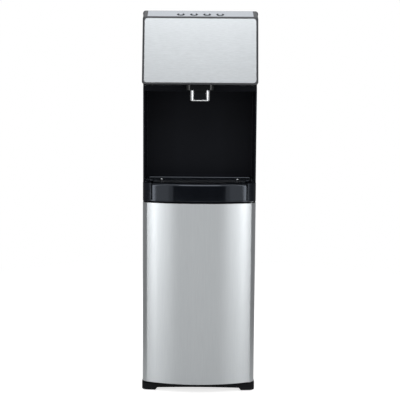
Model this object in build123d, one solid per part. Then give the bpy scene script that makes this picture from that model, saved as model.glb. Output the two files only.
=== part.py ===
"""Bottom-loading water cooler, millimetres, front facing -Y, Z up, origin at the bottom centre."""
import os
from math import atan2, cos, hypot, sin, sqrt

from build123d import *

# Stock and clearances
SHEET = 0.8            # painted steel sheet
SKIN = 1.0             # stainless sheet
WALL = 2.5             # moulded plastic wall
FIT = 0.3              # gap between neighbouring pieces
RUN = 0.05             # radial play of a pin in its bush
OVER = 1.0             # cutters reach this far past what they cut

# Stack of heights, from the floor up
PAD_HEIGHT = 3.0
PLINTH_HEIGHT = 19.0
DOOR_CLEAR = 5.0       # above and below the door, room for the hinge plates
DOOR_HEIGHT = 498.0
APRON_HEIGHT = 49.0
NICHE_HEIGHT = 247.0
FASCIA_HEIGHT = 15.0
HEAD_GAP = 2.0
HEAD_FRONT_HEIGHT = 177.5
STRIP_RISE = 19.5
COVER_HEIGHT = 10.0

PLINTH_TOP = PAD_HEIGHT + PLINTH_HEIGHT
DOOR_BOTTOM = PLINTH_TOP + DOOR_CLEAR
DOOR_TOP = DOOR_BOTTOM + DOOR_HEIGHT
APRON_BOTTOM = DOOR_TOP + DOOR_CLEAR
DECK = APRON_BOTTOM + APRON_HEIGHT
NICHE_CEILING = DECK + NICHE_HEIGHT
FASCIA_TOP = NICHE_CEILING + FASCIA_HEIGHT
HEAD_BOTTOM = FASCIA_TOP + HEAD_GAP
STRIP_BOTTOM = HEAD_BOTTOM + HEAD_FRONT_HEIGHT
HEAD_TOP = STRIP_BOTTOM + STRIP_RISE
COVER_BOTTOM = HEAD_TOP - COVER_HEIGHT

# Stack of depths, from the front back
DOOR_BOW = 32.6        # rise of the bowed front over the door's width
DOOR_SIDE = 22.4       # flat of the door's side before its edges are rounded
DOOR_GAP = 4.0
CABINET_DEPTH = 271.0
REAR_SPACE = 30.0      # condenser behind the cabinet

DOOR_DEPTH = DOOR_BOW + DOOR_SIDE
FRONT = -(DOOR_DEPTH + DOOR_GAP + CABINET_DEPTH + REAR_SPACE) / 2
DOOR_REAR = FRONT + DOOR_DEPTH
CAB_FRONT = DOOR_REAR + DOOR_GAP
CAB_REAR = CAB_FRONT + CABINET_DEPTH
BACK_FACE = CAB_REAR + SHEET
REAR = CAB_REAR + REAR_SPACE

# Widths
WIDTH = 309.0          # head and top cover
SIDE_STEP = 0.5        # side panels, door and apron stand this far inside it
PLINTH_STEP = 2.0      # plinth beyond the side panels
HALF = WIDTH / 2
BODY = HALF - SIDE_STEP
PLINTH_HALF = BODY + PLINTH_STEP
INNER = BODY - SHEET
INSIDE = INNER - FIT   # half width of what stands between the side panels

# Door
BOW_RADIUS = (DOOR_BOW**2 + BODY**2) / (2 * DOOR_BOW)
CORNER_RADIUS = 20.0
DOOR_REAR_RADIUS = 7.0
DOOR_RETURN = 22.0     # skin folded round the rear edge
CAP_HEIGHT = 14.0
CAP_PLATE = 3.0
LINER_CHAMFER = 0.5    # edge of the liner panel in the skin's rear opening
HINGE_INSET_X = 11.5   # pivot from the door's side
HINGE_INSET_Y = 10.0   # pivot from the door's rear plane
HINGE_X = BODY - HINGE_INSET_X
HINGE_Y = DOOR_REAR - HINGE_INSET_Y
PIN_RADIUS = 3.0
PIN_DEPTH = 10.0
BUSH_WALL = 2.0
BUSH_RADIUS = PIN_RADIUS + RUN + BUSH_WALL
BUSH_HEIGHT = 12.0
BRACKET = 2.5          # hinge plate
BRACKET_REACH = 13.5
MAGNET_WIDTH = 10.0
MAGNET_HEIGHT = 42.0
MAGNET_LEVEL = 300.0   # above the door's lower edge
MAGNET_DEPTH = 2.2

# Cabinet
FLANGE = 18.0          # side panel folded inward at the door opening
REAR_FLANGE = 15.0
SHELF_DROP = 19.0      # mid shelf below the deck
LIP = 10.0             # folded edge of a shelf
PLINTH_REACH = 35.0    # plinth in front of the cabinet
PLINTH_BOW = 8.0       # rise of the plinth's bowed front
PLINTH_CORNER = 16.0
PLINTH_WALL = 4.0
FOOT_WIDTH = 37.0
FOOT_DROP = 7.0
TOE_RISE = 2.7         # middle of the front arch above its ends
FOOT_TAPER = 6.0
PAD_RADIUS = 13.0

# Dispensing niche, apron and drip tray
NICHE_DEPTH = 94.0
NICHE_WALL = 3.0
NICHE_RADIUS = 3.0
LIP_FRONT = 3.0        # niche edge in front of the side panels
RIM_WIDTH = 6.0
RIM_HEIGHT = 7.5
RIM_CORNER = 10.0
RIM_ROUND = 5.0        # inner top edge of the rim
TRAY_SIDE = 24.0       # tray from the apron's side
TRAY_DEPTH = 125.0
TRAY_WALL = 3.0
TRAY_FRONT = 11.0      # front wall, thick enough for its rounded top
TRAY_NOSE = 8.0
TRAY_EDGE = 5.0
GRILLE = 2.5
GRILLE_DROP = 1.2      # grille top below the tray's rim
LEDGE = 3.0
SLOT_WIDTH = 4.0
SLOT_LENGTH = 26.0
SLOT_PITCH = 6.5
SLOT_ROW_GAP = 7.0
SCREW_RADIUS = 3.6
SCREW_HEAD = 1.6
SCREW_SPACING = 214.0

NICHE_BACK = CAB_FRONT + NICHE_DEPTH
NICHE_REAR = NICHE_BACK + WALL
NICHE_INSIDE = INSIDE - NICHE_WALL
TRAY_HALF = BODY - TRAY_SIDE
TRAY_REAR = FRONT + TRAY_DEPTH
TRAY_FLOOR = APRON_BOTTOM + WALL + FIT
SHELF = DECK - SHELF_DROP

# Nozzle
NOZZLE_SETBACK = 31.0  # nozzle centre behind the front
COLLAR_WIDTH = 76.0
COLLAR_DEPTH = 44.0
COLLAR_HEIGHT = 15.0
COLLAR_RADIUS = 14.0
BEZEL_WIDTH = 54.0
BEZEL_DEPTH = 34.0
BEZEL_HEIGHT = 29.0
BEZEL_ARM = 10.5
BEZEL_FLOOR = 3.0
BEZEL_RADIUS = 10.0
INSERT_SETBACK = 1.5   # black core behind the arms' front
OUTLET_RADIUS = 8.0
OUTLET_WALL = 2.0
NOZZLE_Y = FRONT + NOZZLE_SETBACK
COLLAR_BOTTOM = HEAD_BOTTOM - COLLAR_HEIGHT
BEZEL_BOTTOM = COLLAR_BOTTOM - BEZEL_HEIGHT

# Head
HEAD_LEAN = 12.0       # front panel leans back this far over its height
HEAD_TAPER = 2.0       # sides lean in this far over the head's height
HEAD_WALL = 5.0
HEAD_EDGE = 8.0        # rounding of the head's side edges
HEAD_NOSE = 3.0
HEAD_RIM = 6.0         # flange round the open rear
PANEL_SIDE = 5.5       # frame seen beside the front panel
PANEL_LOW = 5.0
PANEL_HIGH = 4.0
PANEL_CORNER = 7.5
STRIP = 2.0
STRIP_SINK = 0.2       # strip below its cheeks
STRIP_CHEEK = 14.0
STRIP_FRONT = 3.5
STRIP_CORNER = 2.0
BUTTON_COUNT = 4
BUTTON_PITCH = 34.8
BUTTON_ROW = 20.0      # button centres from the strip's lower edge
BUTTON_RADIUS = 5.4
BUTTON_PROUD = 2.2
BUTTON_TRAVEL = 1.5
BUTTON_PLAY = 0.4
BUTTON_FLANGE = 2.5    # retaining flange beyond the cap
FLANGE_THICK = 1.7
STEM_RADIUS = 3.0
STEM_LENGTH = 6.0
RING_WIDTH = 4.4
RING_SINK = 1.0
KEY_SIZE = 6.0         # push switch on the button board
KEY_HEIGHT = 3.5
BOARD = 1.6
BOARD_WIDTH = 26.0
BOARD_SPARE = 22.0     # board beyond the outer buttons
BOSS_RADIUS = 3.5

HEAD_BACK = CAB_FRONT - FIT
STRIP_RUN = HEAD_BACK - FRONT - HEAD_LEAN
STRIP_SLOPE = hypot(STRIP_RUN, STRIP_RISE)
FACE_LEAN = atan2(HEAD_LEAN, HEAD_FRONT_HEIGHT)
FACE_LENGTH = hypot(HEAD_LEAN, HEAD_FRONT_HEIGHT)
FACE_PLANE = Plane((0, FRONT, HEAD_BOTTOM), (1, 0, 0), (0, -cos(FACE_LEAN), sin(FACE_LEAN)))
STRIP_PLANE = Plane(
    (0, FRONT + HEAD_LEAN, STRIP_BOTTOM), (1, 0, 0), (0, -STRIP_RISE, STRIP_RUN)
)
TAPER_SLOPE = HEAD_TAPER / (HEAD_TOP - HEAD_BOTTOM)
RECESS = STRIP_SINK + STRIP
RING_RADIUS = BUTTON_RADIUS + BUTTON_PLAY + RING_WIDTH
STEM_END = -HEAD_WALL - FIT - FLANGE_THICK - STEM_LENGTH
KEY_TOP = STEM_END - BUTTON_TRAVEL - FIT
BOARD_TOP = KEY_TOP - KEY_HEIGHT
BOARD_LENGTH = BUTTON_PITCH * (BUTTON_COUNT - 1) + 2 * BOARD_SPARE

# Bottle bay
MAT_HEIGHT = 9.0
MAT_RECESS = 5.0
MAT_MARGIN = 8.0
BOTTLE_RADIUS = 137.0
PROBE_CORNER = 27.0    # probe axis from the bay's side and rear
PROBE_RADIUS = 8.0
PROBE_WALL = 2.4
PROBE_LENGTH = 440.0
PROBE_CAP_RADIUS = 21.0
PROBE_CAP_HEIGHT = 30.0
PROBE_GRIP = 2.0       # finger rim beyond the cap
PROBE_RIM_HEIGHT = 7.5
PROBE_CAP_ROUND = 3.0
HOSE_RADIUS = 4.5
HOSE_SHOWN = 22.0      # hose between the cap and the shelf
CLIP_HEIGHT = 14.0
CLIP_WALL = 3.0
CLIP_LEVEL = 0.8       # share of the wand's length below the clip
CLIP_MOUTH = 0.8       # clip's opening as a share of its bore
GLAND_RADIUS = 9.0

# Cooling and heating set
COMPRESSOR_RADIUS = 56.0   # at the weld seam
COMPRESSOR_HEIGHT = 130.0
COMPRESSOR_MARGIN = 12.0   # from the back panel
COMPRESSOR_SIDE = 7.4      # mounting plate from the hose gland
CAN_WALL = 3.0
SEAM_REACH = 4.0           # weld seam beyond the can
SEAM_HEIGHT = 5.0
ROTOR_RADIUS = 34.0        # motor inside the can
ROTOR_HEIGHT = 70.0
STUB_RADIUS = 5.0          # suction stub
STUB_LENGTH = 14.0
MOUNT_HEIGHT = 12.0
MOUNT_RADIUS = 9.0
MOUNT_WAIST = 6.3
MOUNT_SPREAD = 40.0        # mounts from the can's axis, each way
BASE_PLATE = 3.0
HOT_RADIUS = 42.0
HOT_HEIGHT = 190.0
SLEEVE_WALL = 10.0
SLEEVE_HEIGHT = 161.5
COLD_RADIUS = 68.0
COLD_HEIGHT = 120.0
COLD_SIDE = 12.0           # foam jacket from the left side
JACKET_WALL = 20.0
TANK_WALL = 1.5
LID = 6.0
TANK_MARGIN = 8.0          # tanks from the nearest panel
PUMP_RADIUS = 15.0
PUMP_LENGTH = 56.0
PUMP_HEAD = 38.0
CIRCUIT_LENGTH = 110.0
CIRCUIT_WIDTH = 70.0
CIRCUIT_SIDE = 14.0        # power board from the right side
COIL_BLOCK = 26.0          # transformer on the power board
RELAY = 16.0
RELAY_COUNT = 3
RELAY_PITCH = 14.0
BLOCK_MARGIN = 9.0         # parts from the board's edge
STANDOFF = 8.0
STANDOFF_RADIUS = 3.5

# Rear
TUBE_RADIUS = 2.4
WIRE_RADIUS = 0.8
RUNS = 10
RUN_PITCH = 44.0
COIL_HALF = 116.0
COIL_DROP = 66.0       # top run below the tube entries
BEND_FLAT = 2.0        # straight between the two quarter bends of a turn
LEG_INSIDE = 14.0
WIRE_COUNT = 17
WIRE_OVERHANG = 8.0
WIRE_INSET = 14.0      # outer wires from the ends of the straight runs
RISER = 12.0           # return tube beside the bends
LEG_LEVEL = 30.0       # tube entries above the mid shelf
SWITCH_LEVEL = 70.0    # below the top cover
SWITCH_SIDE = 46.0     # outer rocker from the cabinet's side
SWITCH_PITCH = 26.0
ROCKER_HALF = 7.0
ROCKER_REACH = 10.5
ROCKER_PROUD = 2.0
ROCKER_TILT = 8.0
TRUNNION_RADIUS = 1.5
TRUNNION = 1.2         # rocker's pivot beyond its side
SWITCH_WELL = 12.0
SWITCH_PLATE = 2.0
SWITCH_BORDER = 6.0
DRAIN_LEVEL = 26.0     # above the mid shelf
SPIGOT_RADIUS = 7.0
SPIGOT_OUT = 14.0
CAP_WALL = 3.0
CAP_RIB = 1.0          # half width of a grip rib
GLAND_X = 0.0
CORD_GLAND_RADIUS = 8.0
CORD_GLAND_OUT = 10.0
LOUVRE_COUNT = 7
LOUVRE_PITCH = 16.0
LOUVRE_WIDTH = 170.0
LOUVRE_HEIGHT = 5.0

TUBE_Y = REAR - 2 * WIRE_RADIUS - TUBE_RADIUS
BEND = (RUN_PITCH - BEND_FLAT) / 2
LEG_Z = SHELF + LEG_LEVEL
COIL_HIGH = LEG_Z - COIL_DROP
COIL_LOW = COIL_HIGH - (RUNS - 1) * RUN_PITCH
COIL_REACH = COIL_HALF - BEND
SWITCH_Z = COVER_BOTTOM - SWITCH_LEVEL
DRAIN_Z = SHELF + DRAIN_LEVEL
HOLE_PLAY = 0.4        # hole in sheet round what passes through it
PROBE_X = -INNER + PROBE_CORNER
PROBE_Y = CAB_REAR - SHEET - PROBE_CORNER
MOUNT_REACH = MOUNT_SPREAD + MOUNT_RADIUS
COMPRESSOR_X = PROBE_X + GLAND_RADIUS + WALL + COMPRESSOR_SIDE + MOUNT_REACH
COMPRESSOR_Y = CAB_REAR - SHEET - COMPRESSOR_MARGIN - COMPRESSOR_RADIUS
SLEEVE_RADIUS = HOT_RADIUS + FIT + SLEEVE_WALL
HOT_X = INNER - TANK_MARGIN - SLEEVE_RADIUS
HOT_Y = CAB_REAR - SHEET - TANK_MARGIN - SLEEVE_RADIUS
PUMP_X = (COMPRESSOR_X + COMPRESSOR_RADIUS + HOT_X - SLEEVE_RADIUS) / 2
COLD_X = -INNER + COLD_SIDE + COLD_RADIUS + JACKET_WALL
COLD_Y = CAB_REAR - SHEET - TANK_MARGIN - COLD_RADIUS - JACKET_WALL
CIRCUIT_X = INNER - CIRCUIT_SIDE - CIRCUIT_WIDTH / 2
SWITCH_X = BODY - SWITCH_SIDE - SWITCH_PITCH
DEGREE = atan2(1, 1) / 45


def slab(x0, x1, y0, y1, z0, z1):
    """Box between six planes."""
    return Pos(x0, y0, z0) * Box(x1 - x0, y1 - y0, z1 - z0, align=(Align.MIN,) * 3)


def post(x, y, z0, z1, radius):
    """Upright cylinder between two levels."""
    return Pos(x, y, z0) * Cylinder(radius, z1 - z0, align=(Align.CENTER, Align.CENTER, Align.MIN))


def rod(x, z, y0, y1, radius):
    """Cylinder along Y between two depths."""
    return Pos(x, y0, z) * Rot(-90, 0, 0) * Cylinder(
        radius, y1 - y0, align=(Align.CENTER, Align.CENTER, Align.MIN)
    )


def both_sides(shape):
    """The shape with its mirror image in X."""
    return shape + mirror(shape, about=Plane.YZ)


def bow_outline(half, front, rear, radius, corner, rear_corner):
    """Plan outline with a bowed front, rounded front corners and rounded rear corners."""
    side = front + radius - sqrt(radius**2 - half**2)
    with BuildSketch() as plan:
        with BuildLine():
            ThreePointArc((-half, side), (0, front), (half, side))
            Polyline((half, side), (half, rear), (-half, rear), (-half, side))
        make_face()
        if corner:
            fillet([v for v in plan.vertices() if abs(v.Y - side) < 0.001], corner)
        if rear_corner:
            fillet(plan.vertices().group_by(Axis.Y)[-1], rear_corner)
    return plan.sketch


def raised(outline, z0, z1):
    """Outline made solid between two levels."""
    return Pos(0, 0, z0) * extrude(outline, z1 - z0)


def on_plane(plane, outline, low, high):
    """Outline on a plane made solid between two heights along the plane's normal."""
    return plane * Pos(0, 0, low) * extrude(outline, high - low)


def vertical_edges(shape):
    return shape.edges().filter_by(Axis.Z)


def button_places():
    """Button centres along the strip, left to right."""
    first = -BUTTON_PITCH * (BUTTON_COUNT - 1) / 2
    return [(first + i * BUTTON_PITCH, BUTTON_ROW) for i in range(BUTTON_COUNT)]


def foot_centres():
    """Centres of the corner feet, front one first on each side."""
    x = PLINTH_HALF - FOOT_WIDTH / 2
    rows = (CAB_FRONT + FOOT_WIDTH / 4, CAB_REAR - FOOT_WIDTH / 2)
    return [(side, y) for side in (-x, x) for y in rows]


def base_plinth():
    """Moulded plinth: skirt, top, four corner feet and an arched toe."""
    radius = (PLINTH_BOW**2 + PLINTH_HALF**2) / (2 * PLINTH_BOW)
    plan = bow_outline(
        PLINTH_HALF, CAB_FRONT - PLINTH_REACH, CAB_REAR, radius, PLINTH_CORNER, PLINTH_WALL
    )
    toe = PAD_HEIGHT + FOOT_DROP
    block = raised(plan, PAD_HEIGHT, PLINTH_TOP)
    hollow = raised(offset(plan, -PLINTH_WALL), PAD_HEIGHT - OVER, PLINTH_TOP - WALL)
    feet = Part()
    for x, y in foot_centres():
        reach = FOOT_WIDTH
        feet += slab(x - reach / 2, x + reach / 2, y - reach, y + reach / 2, PAD_HEIGHT, PLINTH_TOP)
    ribs = Part()
    for y in (CAB_FRONT + CABINET_DEPTH / 3, CAB_FRONT + 2 * CABINET_DEPTH / 3):
        ribs += slab(-PLINTH_HALF + OVER, PLINTH_HALF - OVER, y, y + WALL, toe + OVER, PLINTH_TOP)
    low = PAD_HEIGHT - OVER
    outer = PLINTH_HALF - FOOT_WIDTH
    with BuildSketch(Plane.XZ) as arch:
        with BuildLine():
            ThreePointArc((-outer + FOOT_TAPER, toe), (0, toe + TOE_RISE), (outer - FOOT_TAPER, toe))
            Polyline((outer - FOOT_TAPER, toe), (outer, low), (-outer, low), (-outer + FOOT_TAPER, toe))
        make_face()
    front_arch = extrude(arch.sketch, DOOR_DEPTH + CABINET_DEPTH, both=True)
    first, last = foot_centres()[:2]
    front = first[1] + FOOT_WIDTH / 2
    rear = last[1] - FOOT_WIDTH / 2
    side_arch = slab(-PLINTH_HALF - OVER, PLINTH_HALF + OVER, front, rear, low, toe)
    return (block - hollow + ((feet + ribs) & block)) - front_arch - side_arch


def foot_pads():
    pads = Part()
    for x, y in foot_centres():
        pad = post(x, y, 0, PAD_HEIGHT, PAD_RADIUS)
        pads += chamfer(pad.edges().group_by(Axis.Z)[0], PAD_HEIGHT / 4)
    return pads


def base_pan():
    """Floor of the bottle bay with folded side and rear edges."""
    front = CAB_FRONT + SHEET + FIT
    rear = CAB_REAR - SHEET - FIT
    outer = slab(-INSIDE, INSIDE, front, rear, PLINTH_TOP, PLINTH_TOP + LIP)
    inner = slab(
        -INSIDE + SHEET, INSIDE - SHEET, front - OVER, rear - SHEET, PLINTH_TOP + SHEET, DOOR_TOP
    )
    return outer - inner


def side_panel(sign):
    """Sheet side, folded inward round the door opening and along the rear."""
    sheet = slab(INNER, BODY, CAB_FRONT, CAB_REAR, PLINTH_TOP, COVER_BOTTOM)
    front = slab(BODY - FLANGE, BODY, CAB_FRONT, CAB_FRONT + SHEET, PLINTH_TOP, APRON_BOTTOM - FIT)
    rear = slab(BODY - REAR_FLANGE, BODY, CAB_REAR - SHEET, CAB_REAR, PLINTH_TOP, COVER_BOTTOM)
    panel = sheet + front + rear
    return panel if sign > 0 else mirror(panel, about=Plane.YZ)


def back_panel():
    """Rear sheet with louvre slots and holes for what passes through it."""
    sheet = slab(-BODY, BODY, CAB_REAR, BACK_FACE, PLINTH_TOP, COVER_BOTTOM)
    middle = (DECK + SWITCH_Z) / 2
    for i in range(LOUVRE_COUNT):
        z = middle + (i - (LOUVRE_COUNT - 1) / 2) * LOUVRE_PITCH
        sheet -= slab(
            -LOUVRE_WIDTH / 2, LOUVRE_WIDTH / 2, CAB_REAR - OVER, BACK_FACE + OVER, z, z + LOUVRE_HEIGHT
        )
    for x in (-COIL_HALF, -COIL_HALF - RISER):
        sheet -= rod(x, LEG_Z, CAB_REAR - OVER, BACK_FACE + OVER, TUBE_RADIUS + HOLE_PLAY)
    for x in switch_centres():
        sheet -= switch_hole(x, HOLE_PLAY + SWITCH_PLATE, CAB_REAR - OVER, BACK_FACE + OVER)
    sheet -= rod(HOT_X, DRAIN_Z, CAB_REAR - OVER, BACK_FACE + OVER, SPIGOT_RADIUS + HOLE_PLAY)
    hole = CORD_GLAND_RADIUS + HOLE_PLAY
    return sheet - rod(GLAND_X, DRAIN_Z, CAB_REAR - OVER, BACK_FACE + OVER, hole)


def back_screws():
    """Six pan-head screws down the two rear flanges."""
    screws = Part()
    x = BODY - REAR_FLANGE / 2
    for z in (PLINTH_TOP + LIP, APRON_BOTTOM, COVER_BOTTOM - LIP):
        screws += both_sides(rod(x, z, BACK_FACE, BACK_FACE + SCREW_HEAD, SCREW_RADIUS))
    return screws


def shelf(level, front):
    """Sheet shelf with its edges folded down."""
    rear = CAB_REAR - SHEET - FIT
    outer = slab(-INSIDE, INSIDE, front, rear, level - LIP, level)
    return outer - slab(
        -INSIDE + SHEET, INSIDE - SHEET, front + SHEET, rear - SHEET, level - LIP - OVER, level - SHEET
    )


def mid_shelf():
    plate = shelf(SHELF, NICHE_REAR + FIT)
    return plate - post(PROBE_X, PROBE_Y, SHELF - SHEET - OVER, SHELF + OVER, GLAND_RADIUS)


def tank_shelf():
    """Plate over the niche with four studs, for the cold tank and the power board."""
    rear = CAB_REAR - SHEET - FIT
    plate = slab(-INSIDE, INSIDE, CAB_FRONT + FIT, rear, FASCIA_TOP, FASCIA_TOP + SHEET)
    for x, y in circuit_corners():
        plate += post(x, y, FASCIA_TOP, FASCIA_TOP + SHEET + STANDOFF, STANDOFF_RADIUS)
    return plate


def top_cover():
    rear = BACK_FACE + SIDE_STEP
    cover = slab(-HALF, HALF, CAB_FRONT, rear, COVER_BOTTOM, HEAD_TOP)
    cover = fillet(cover.edges().filter_by(Axis.Y).group_by(Axis.Z)[-1], HEAD_EDGE)
    cover = fillet(cover.edges().group_by(Axis.Y)[-1].group_by(Axis.Z)[-1], HEAD_NOSE)
    return cover - slab(
        -HALF + HEAD_WALL, HALF - HEAD_WALL, CAB_FRONT + WALL, rear - HEAD_WALL,
        COVER_BOTTOM - OVER, HEAD_TOP - WALL,
    )


def head_profile():
    """Side outline of the head: leaning front, sloped strip, upright back."""
    corners = [
        (FRONT, HEAD_BOTTOM),
        (FRONT + HEAD_LEAN, STRIP_BOTTOM),
        (HEAD_BACK, HEAD_TOP),
        (HEAD_BACK, HEAD_BOTTOM),
    ]
    face = make_face(Polyline(*corners, close=True))
    return fillet(face.vertices().group_by(Axis.X)[0] + face.vertices().group_by(Axis.X)[1], HEAD_NOSE)


def front_panel_outline(clearance):
    """Head's front panel on its leaning plane, tapered with the head, its corners rounded."""
    low = PANEL_LOW + clearance
    high = FACE_LENGTH - PANEL_HIGH - clearance
    side = HALF - PANEL_SIDE - clearance
    low_half, high_half = (side - level * cos(FACE_LEAN) * TAPER_SLOPE for level in (low, high))
    corners = [(-low_half, low), (low_half, low), (high_half, high), (-high_half, high)]
    face = make_face(Polyline(*corners, close=True))
    return fillet(face.vertices(), PANEL_CORNER - clearance)


def strip_outline(clearance):
    """Control strip on its sloped plane, rounded at the front and run out past the head's back."""
    depth = STRIP_SLOPE + 2 * STRIP_CORNER - STRIP_FRONT
    shape = RectangleRounded(
        WIDTH - 2 * STRIP_CHEEK - 2 * clearance, depth - 2 * clearance, STRIP_CORNER - clearance
    )
    return Pos(0, STRIP_FRONT + depth / 2) * shape


def head_block():
    """Solid form of the head: tapered sides and rounded side edges."""
    block = extrude(Plane.YZ * head_profile(), HALF, both=True)
    top = HALF - HEAD_TAPER
    corners = [(-HALF, HEAD_BOTTOM), (HALF, HEAD_BOTTOM), (top, HEAD_TOP), (-top, HEAD_TOP)]
    block &= extrude(Plane.XZ * make_face(Polyline(*corners, close=True)), -FRONT, both=True)
    sides = block.faces().sort_by(Axis.X)
    rim = [
        e for e in sides[0].edges() + sides[-1].edges()
        if e.center().Y < HEAD_BACK - OVER and e.center().Z > HEAD_BOTTOM + OVER
    ]
    return fillet(rim, HEAD_EDGE)


def head_shell():
    """Hollow head moulding, open at the rear, recessed for the panel and the strip."""
    inside = HALF - HEAD_TAPER - HEAD_WALL
    block = head_block()
    block -= extrude(Plane.YZ * offset(head_profile(), -HEAD_WALL), inside, both=True)
    opening = inside - HEAD_RIM
    block -= slab(
        -opening, opening, HEAD_BACK - HEAD_WALL - OVER, HEAD_BACK + OVER,
        HEAD_BOTTOM + HEAD_WALL + HEAD_RIM, COVER_BOTTOM - HEAD_RIM,
    )
    block -= on_plane(FACE_PLANE, front_panel_outline(0), -SHEET, HEAD_WALL)
    block -= on_plane(STRIP_PLANE, strip_outline(0), -RECESS, HEAD_WALL)
    for x, y in button_places():
        block -= on_plane(
            STRIP_PLANE, Pos(x, y) * Circle(BUTTON_RADIUS + BUTTON_PLAY), -HEAD_WALL - OVER, 0
        )
    for x in (-BOARD_LENGTH / 2 + BOSS_RADIUS + OVER, BOARD_LENGTH / 2 - BOSS_RADIUS - OVER):
        boss = Pos(x, BUTTON_ROW) * Circle(BOSS_RADIUS)
        block += on_plane(STRIP_PLANE, boss, BOARD_TOP, -HEAD_WALL + OVER)
    return block - post(0, NOZZLE_Y, HEAD_BOTTOM - OVER, HEAD_BOTTOM + HEAD_WALL + OVER, OUTLET_RADIUS)


def head_front_panel():
    return on_plane(FACE_PLANE, front_panel_outline(FIT), -SHEET, 0)


def control_strip():
    """Sloped strip with a round opening for each button."""
    plate = on_plane(STRIP_PLANE, strip_outline(FIT), -RECESS, -STRIP_SINK)
    plate &= slab(-HALF, HALF, FRONT, HEAD_BACK, HEAD_BOTTOM, HEAD_TOP)
    for x, y in button_places():
        plate -= on_plane(STRIP_PLANE, Pos(x, y) * Circle(RING_RADIUS + FIT), -RECESS - OVER, 0)
    return plate


def button_rings():
    """Dark ring set in the strip round each button."""
    rings = Part()
    for x, y in button_places():
        ring = Circle(RING_RADIUS) - Circle(BUTTON_RADIUS + BUTTON_PLAY)
        rings += on_plane(STRIP_PLANE, Pos(x, y) * ring, -RECESS, -STRIP_SINK - RING_SINK)
    return rings


def button(index):
    """Round push button: domed cap, retaining flange below the wall and a stem to the switch."""
    x, y = button_places()[index]
    top = BUTTON_PROUD - STRIP_SINK
    under = -HEAD_WALL - FIT
    sunk = under - FLANGE_THICK / 2
    cap = post(0, 0, sunk, top, BUTTON_RADIUS)
    cap = fillet(cap.edges().group_by(Axis.Z)[-1], BUTTON_PROUD / 2)
    flange = post(0, 0, under - FLANGE_THICK, under, BUTTON_RADIUS + BUTTON_FLANGE)
    stem = post(0, 0, STEM_END, sunk, STEM_RADIUS)
    return STRIP_PLANE * Pos(x, y) * (cap + flange + stem)


def button_board():
    """Circuit board under the strip with one push switch per button."""
    plate = Pos(0, BUTTON_ROW) * Rectangle(BOARD_LENGTH, BOARD_WIDTH)
    board = on_plane(STRIP_PLANE, plate, BOARD_TOP - BOARD, BOARD_TOP)
    for x, y in button_places():
        key = Pos(x, y) * Rectangle(KEY_SIZE, KEY_SIZE)
        board += on_plane(STRIP_PLANE, key, BOARD_TOP, KEY_TOP - KEY_HEIGHT / 4)
        board += on_plane(STRIP_PLANE, Pos(x, y) * Circle(KEY_SIZE / 4), BOARD_TOP, KEY_TOP)
    return board


def niche_shell():
    """Dispensing niche: cheeks, back wall, ceiling and the fascia under the head."""
    front = CAB_FRONT - LIP_FRONT
    block = slab(-INSIDE, INSIDE, front, NICHE_REAR, DECK, FASCIA_TOP)
    cavity = slab(-NICHE_INSIDE, NICHE_INSIDE, front - OVER, NICHE_BACK, DECK - OVER, NICHE_CEILING)
    rear_edges = cavity.edges().group_by(Axis.Y)[-1].filter_by(lambda e: e.center().Z > DECK)
    cavity = fillet(rear_edges, NICHE_RADIUS)
    loft = slab(
        -NICHE_INSIDE, NICHE_INSIDE, front + WALL, NICHE_REAR + OVER,
        NICHE_CEILING + WALL, FASCIA_TOP + OVER,
    )
    lips = slab(-BODY, BODY, front, CAB_FRONT - FIT, DECK, FASCIA_TOP)
    upper = lips.edges().filter_by(Axis.Y).group_by(Axis.Z)[-1]
    lips = fillet(upper, RIM_WIDTH)
    lips -= slab(-INSIDE, INSIDE, front - OVER, CAB_FRONT, DECK - OVER, FASCIA_TOP + OVER)
    return block - cavity - loft + lips


def apron_outline():
    return bow_outline(BODY, FRONT, CAB_FRONT - FIT, BOW_RADIUS, CORNER_RADIUS, 0)


def apron():
    """Deck moulding: two bowed pillars, the drip tray's bay and a raised rim round the deck."""
    bay_half = TRAY_HALF + FIT
    bay_rear = TRAY_REAR + FIT
    join = CAB_FRONT - FIT - WALL
    body = raised(apron_outline(), APRON_BOTTOM, DECK)
    body += slab(-INSIDE, INSIDE, join, NICHE_REAR, APRON_BOTTOM, DECK)
    hollow = raised(offset(apron_outline(), -WALL), APRON_BOTTOM - OVER, DECK - WALL)
    hollow += slab(
        -INSIDE + WALL, INSIDE - WALL, join - OVER, NICHE_REAR - WALL, APRON_BOTTOM - OVER, DECK - WALL
    )
    hollow -= slab(
        -bay_half - WALL, bay_half + WALL, FRONT - OVER, bay_rear + WALL, APRON_BOTTOM - 2 * OVER, DECK
    )
    bay = slab(-bay_half, bay_half, FRONT - OVER, bay_rear, APRON_BOTTOM + WALL, DECK + OVER)
    rim_out = NICHE_INSIDE - FIT
    rim_back = NICHE_BACK - FIT
    rim = slab(-rim_out, rim_out, CAB_FRONT, rim_back, DECK - OVER, DECK + RIM_HEIGHT)
    rim = fillet(vertical_edges(rim).group_by(Axis.Y)[-1], RIM_CORNER)
    inner_out = rim_out - RIM_WIDTH
    inner_back = rim_back - RIM_WIDTH
    inner = slab(
        -inner_out, inner_out, CAB_FRONT - OVER, inner_back, DECK - 2 * OVER, DECK + RIM_HEIGHT + OVER
    )
    rim -= fillet(vertical_edges(inner).group_by(Axis.Y)[-1], RIM_CORNER - RIM_WIDTH)
    crest = [
        e for e in rim.edges().group_by(Axis.Z)[-1]
        if abs(e.center().X) < inner_out + FIT and e.center().Y < inner_back + FIT
    ]
    rim = fillet(crest, RIM_ROUND)
    return body - hollow - bay + rim


def deck_screws():
    y = (TRAY_REAR + FIT + NICHE_BACK - FIT - RIM_WIDTH) / 2
    return both_sides(post(SCREW_SPACING / 2, y, DECK, DECK + SCREW_HEAD, SCREW_RADIUS))


def tray_outline(side, front, rear):
    return bow_outline(
        TRAY_HALF - side, FRONT + front, TRAY_REAR - rear, BOW_RADIUS - front, TRAY_EDGE, TRAY_EDGE
    )


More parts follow.
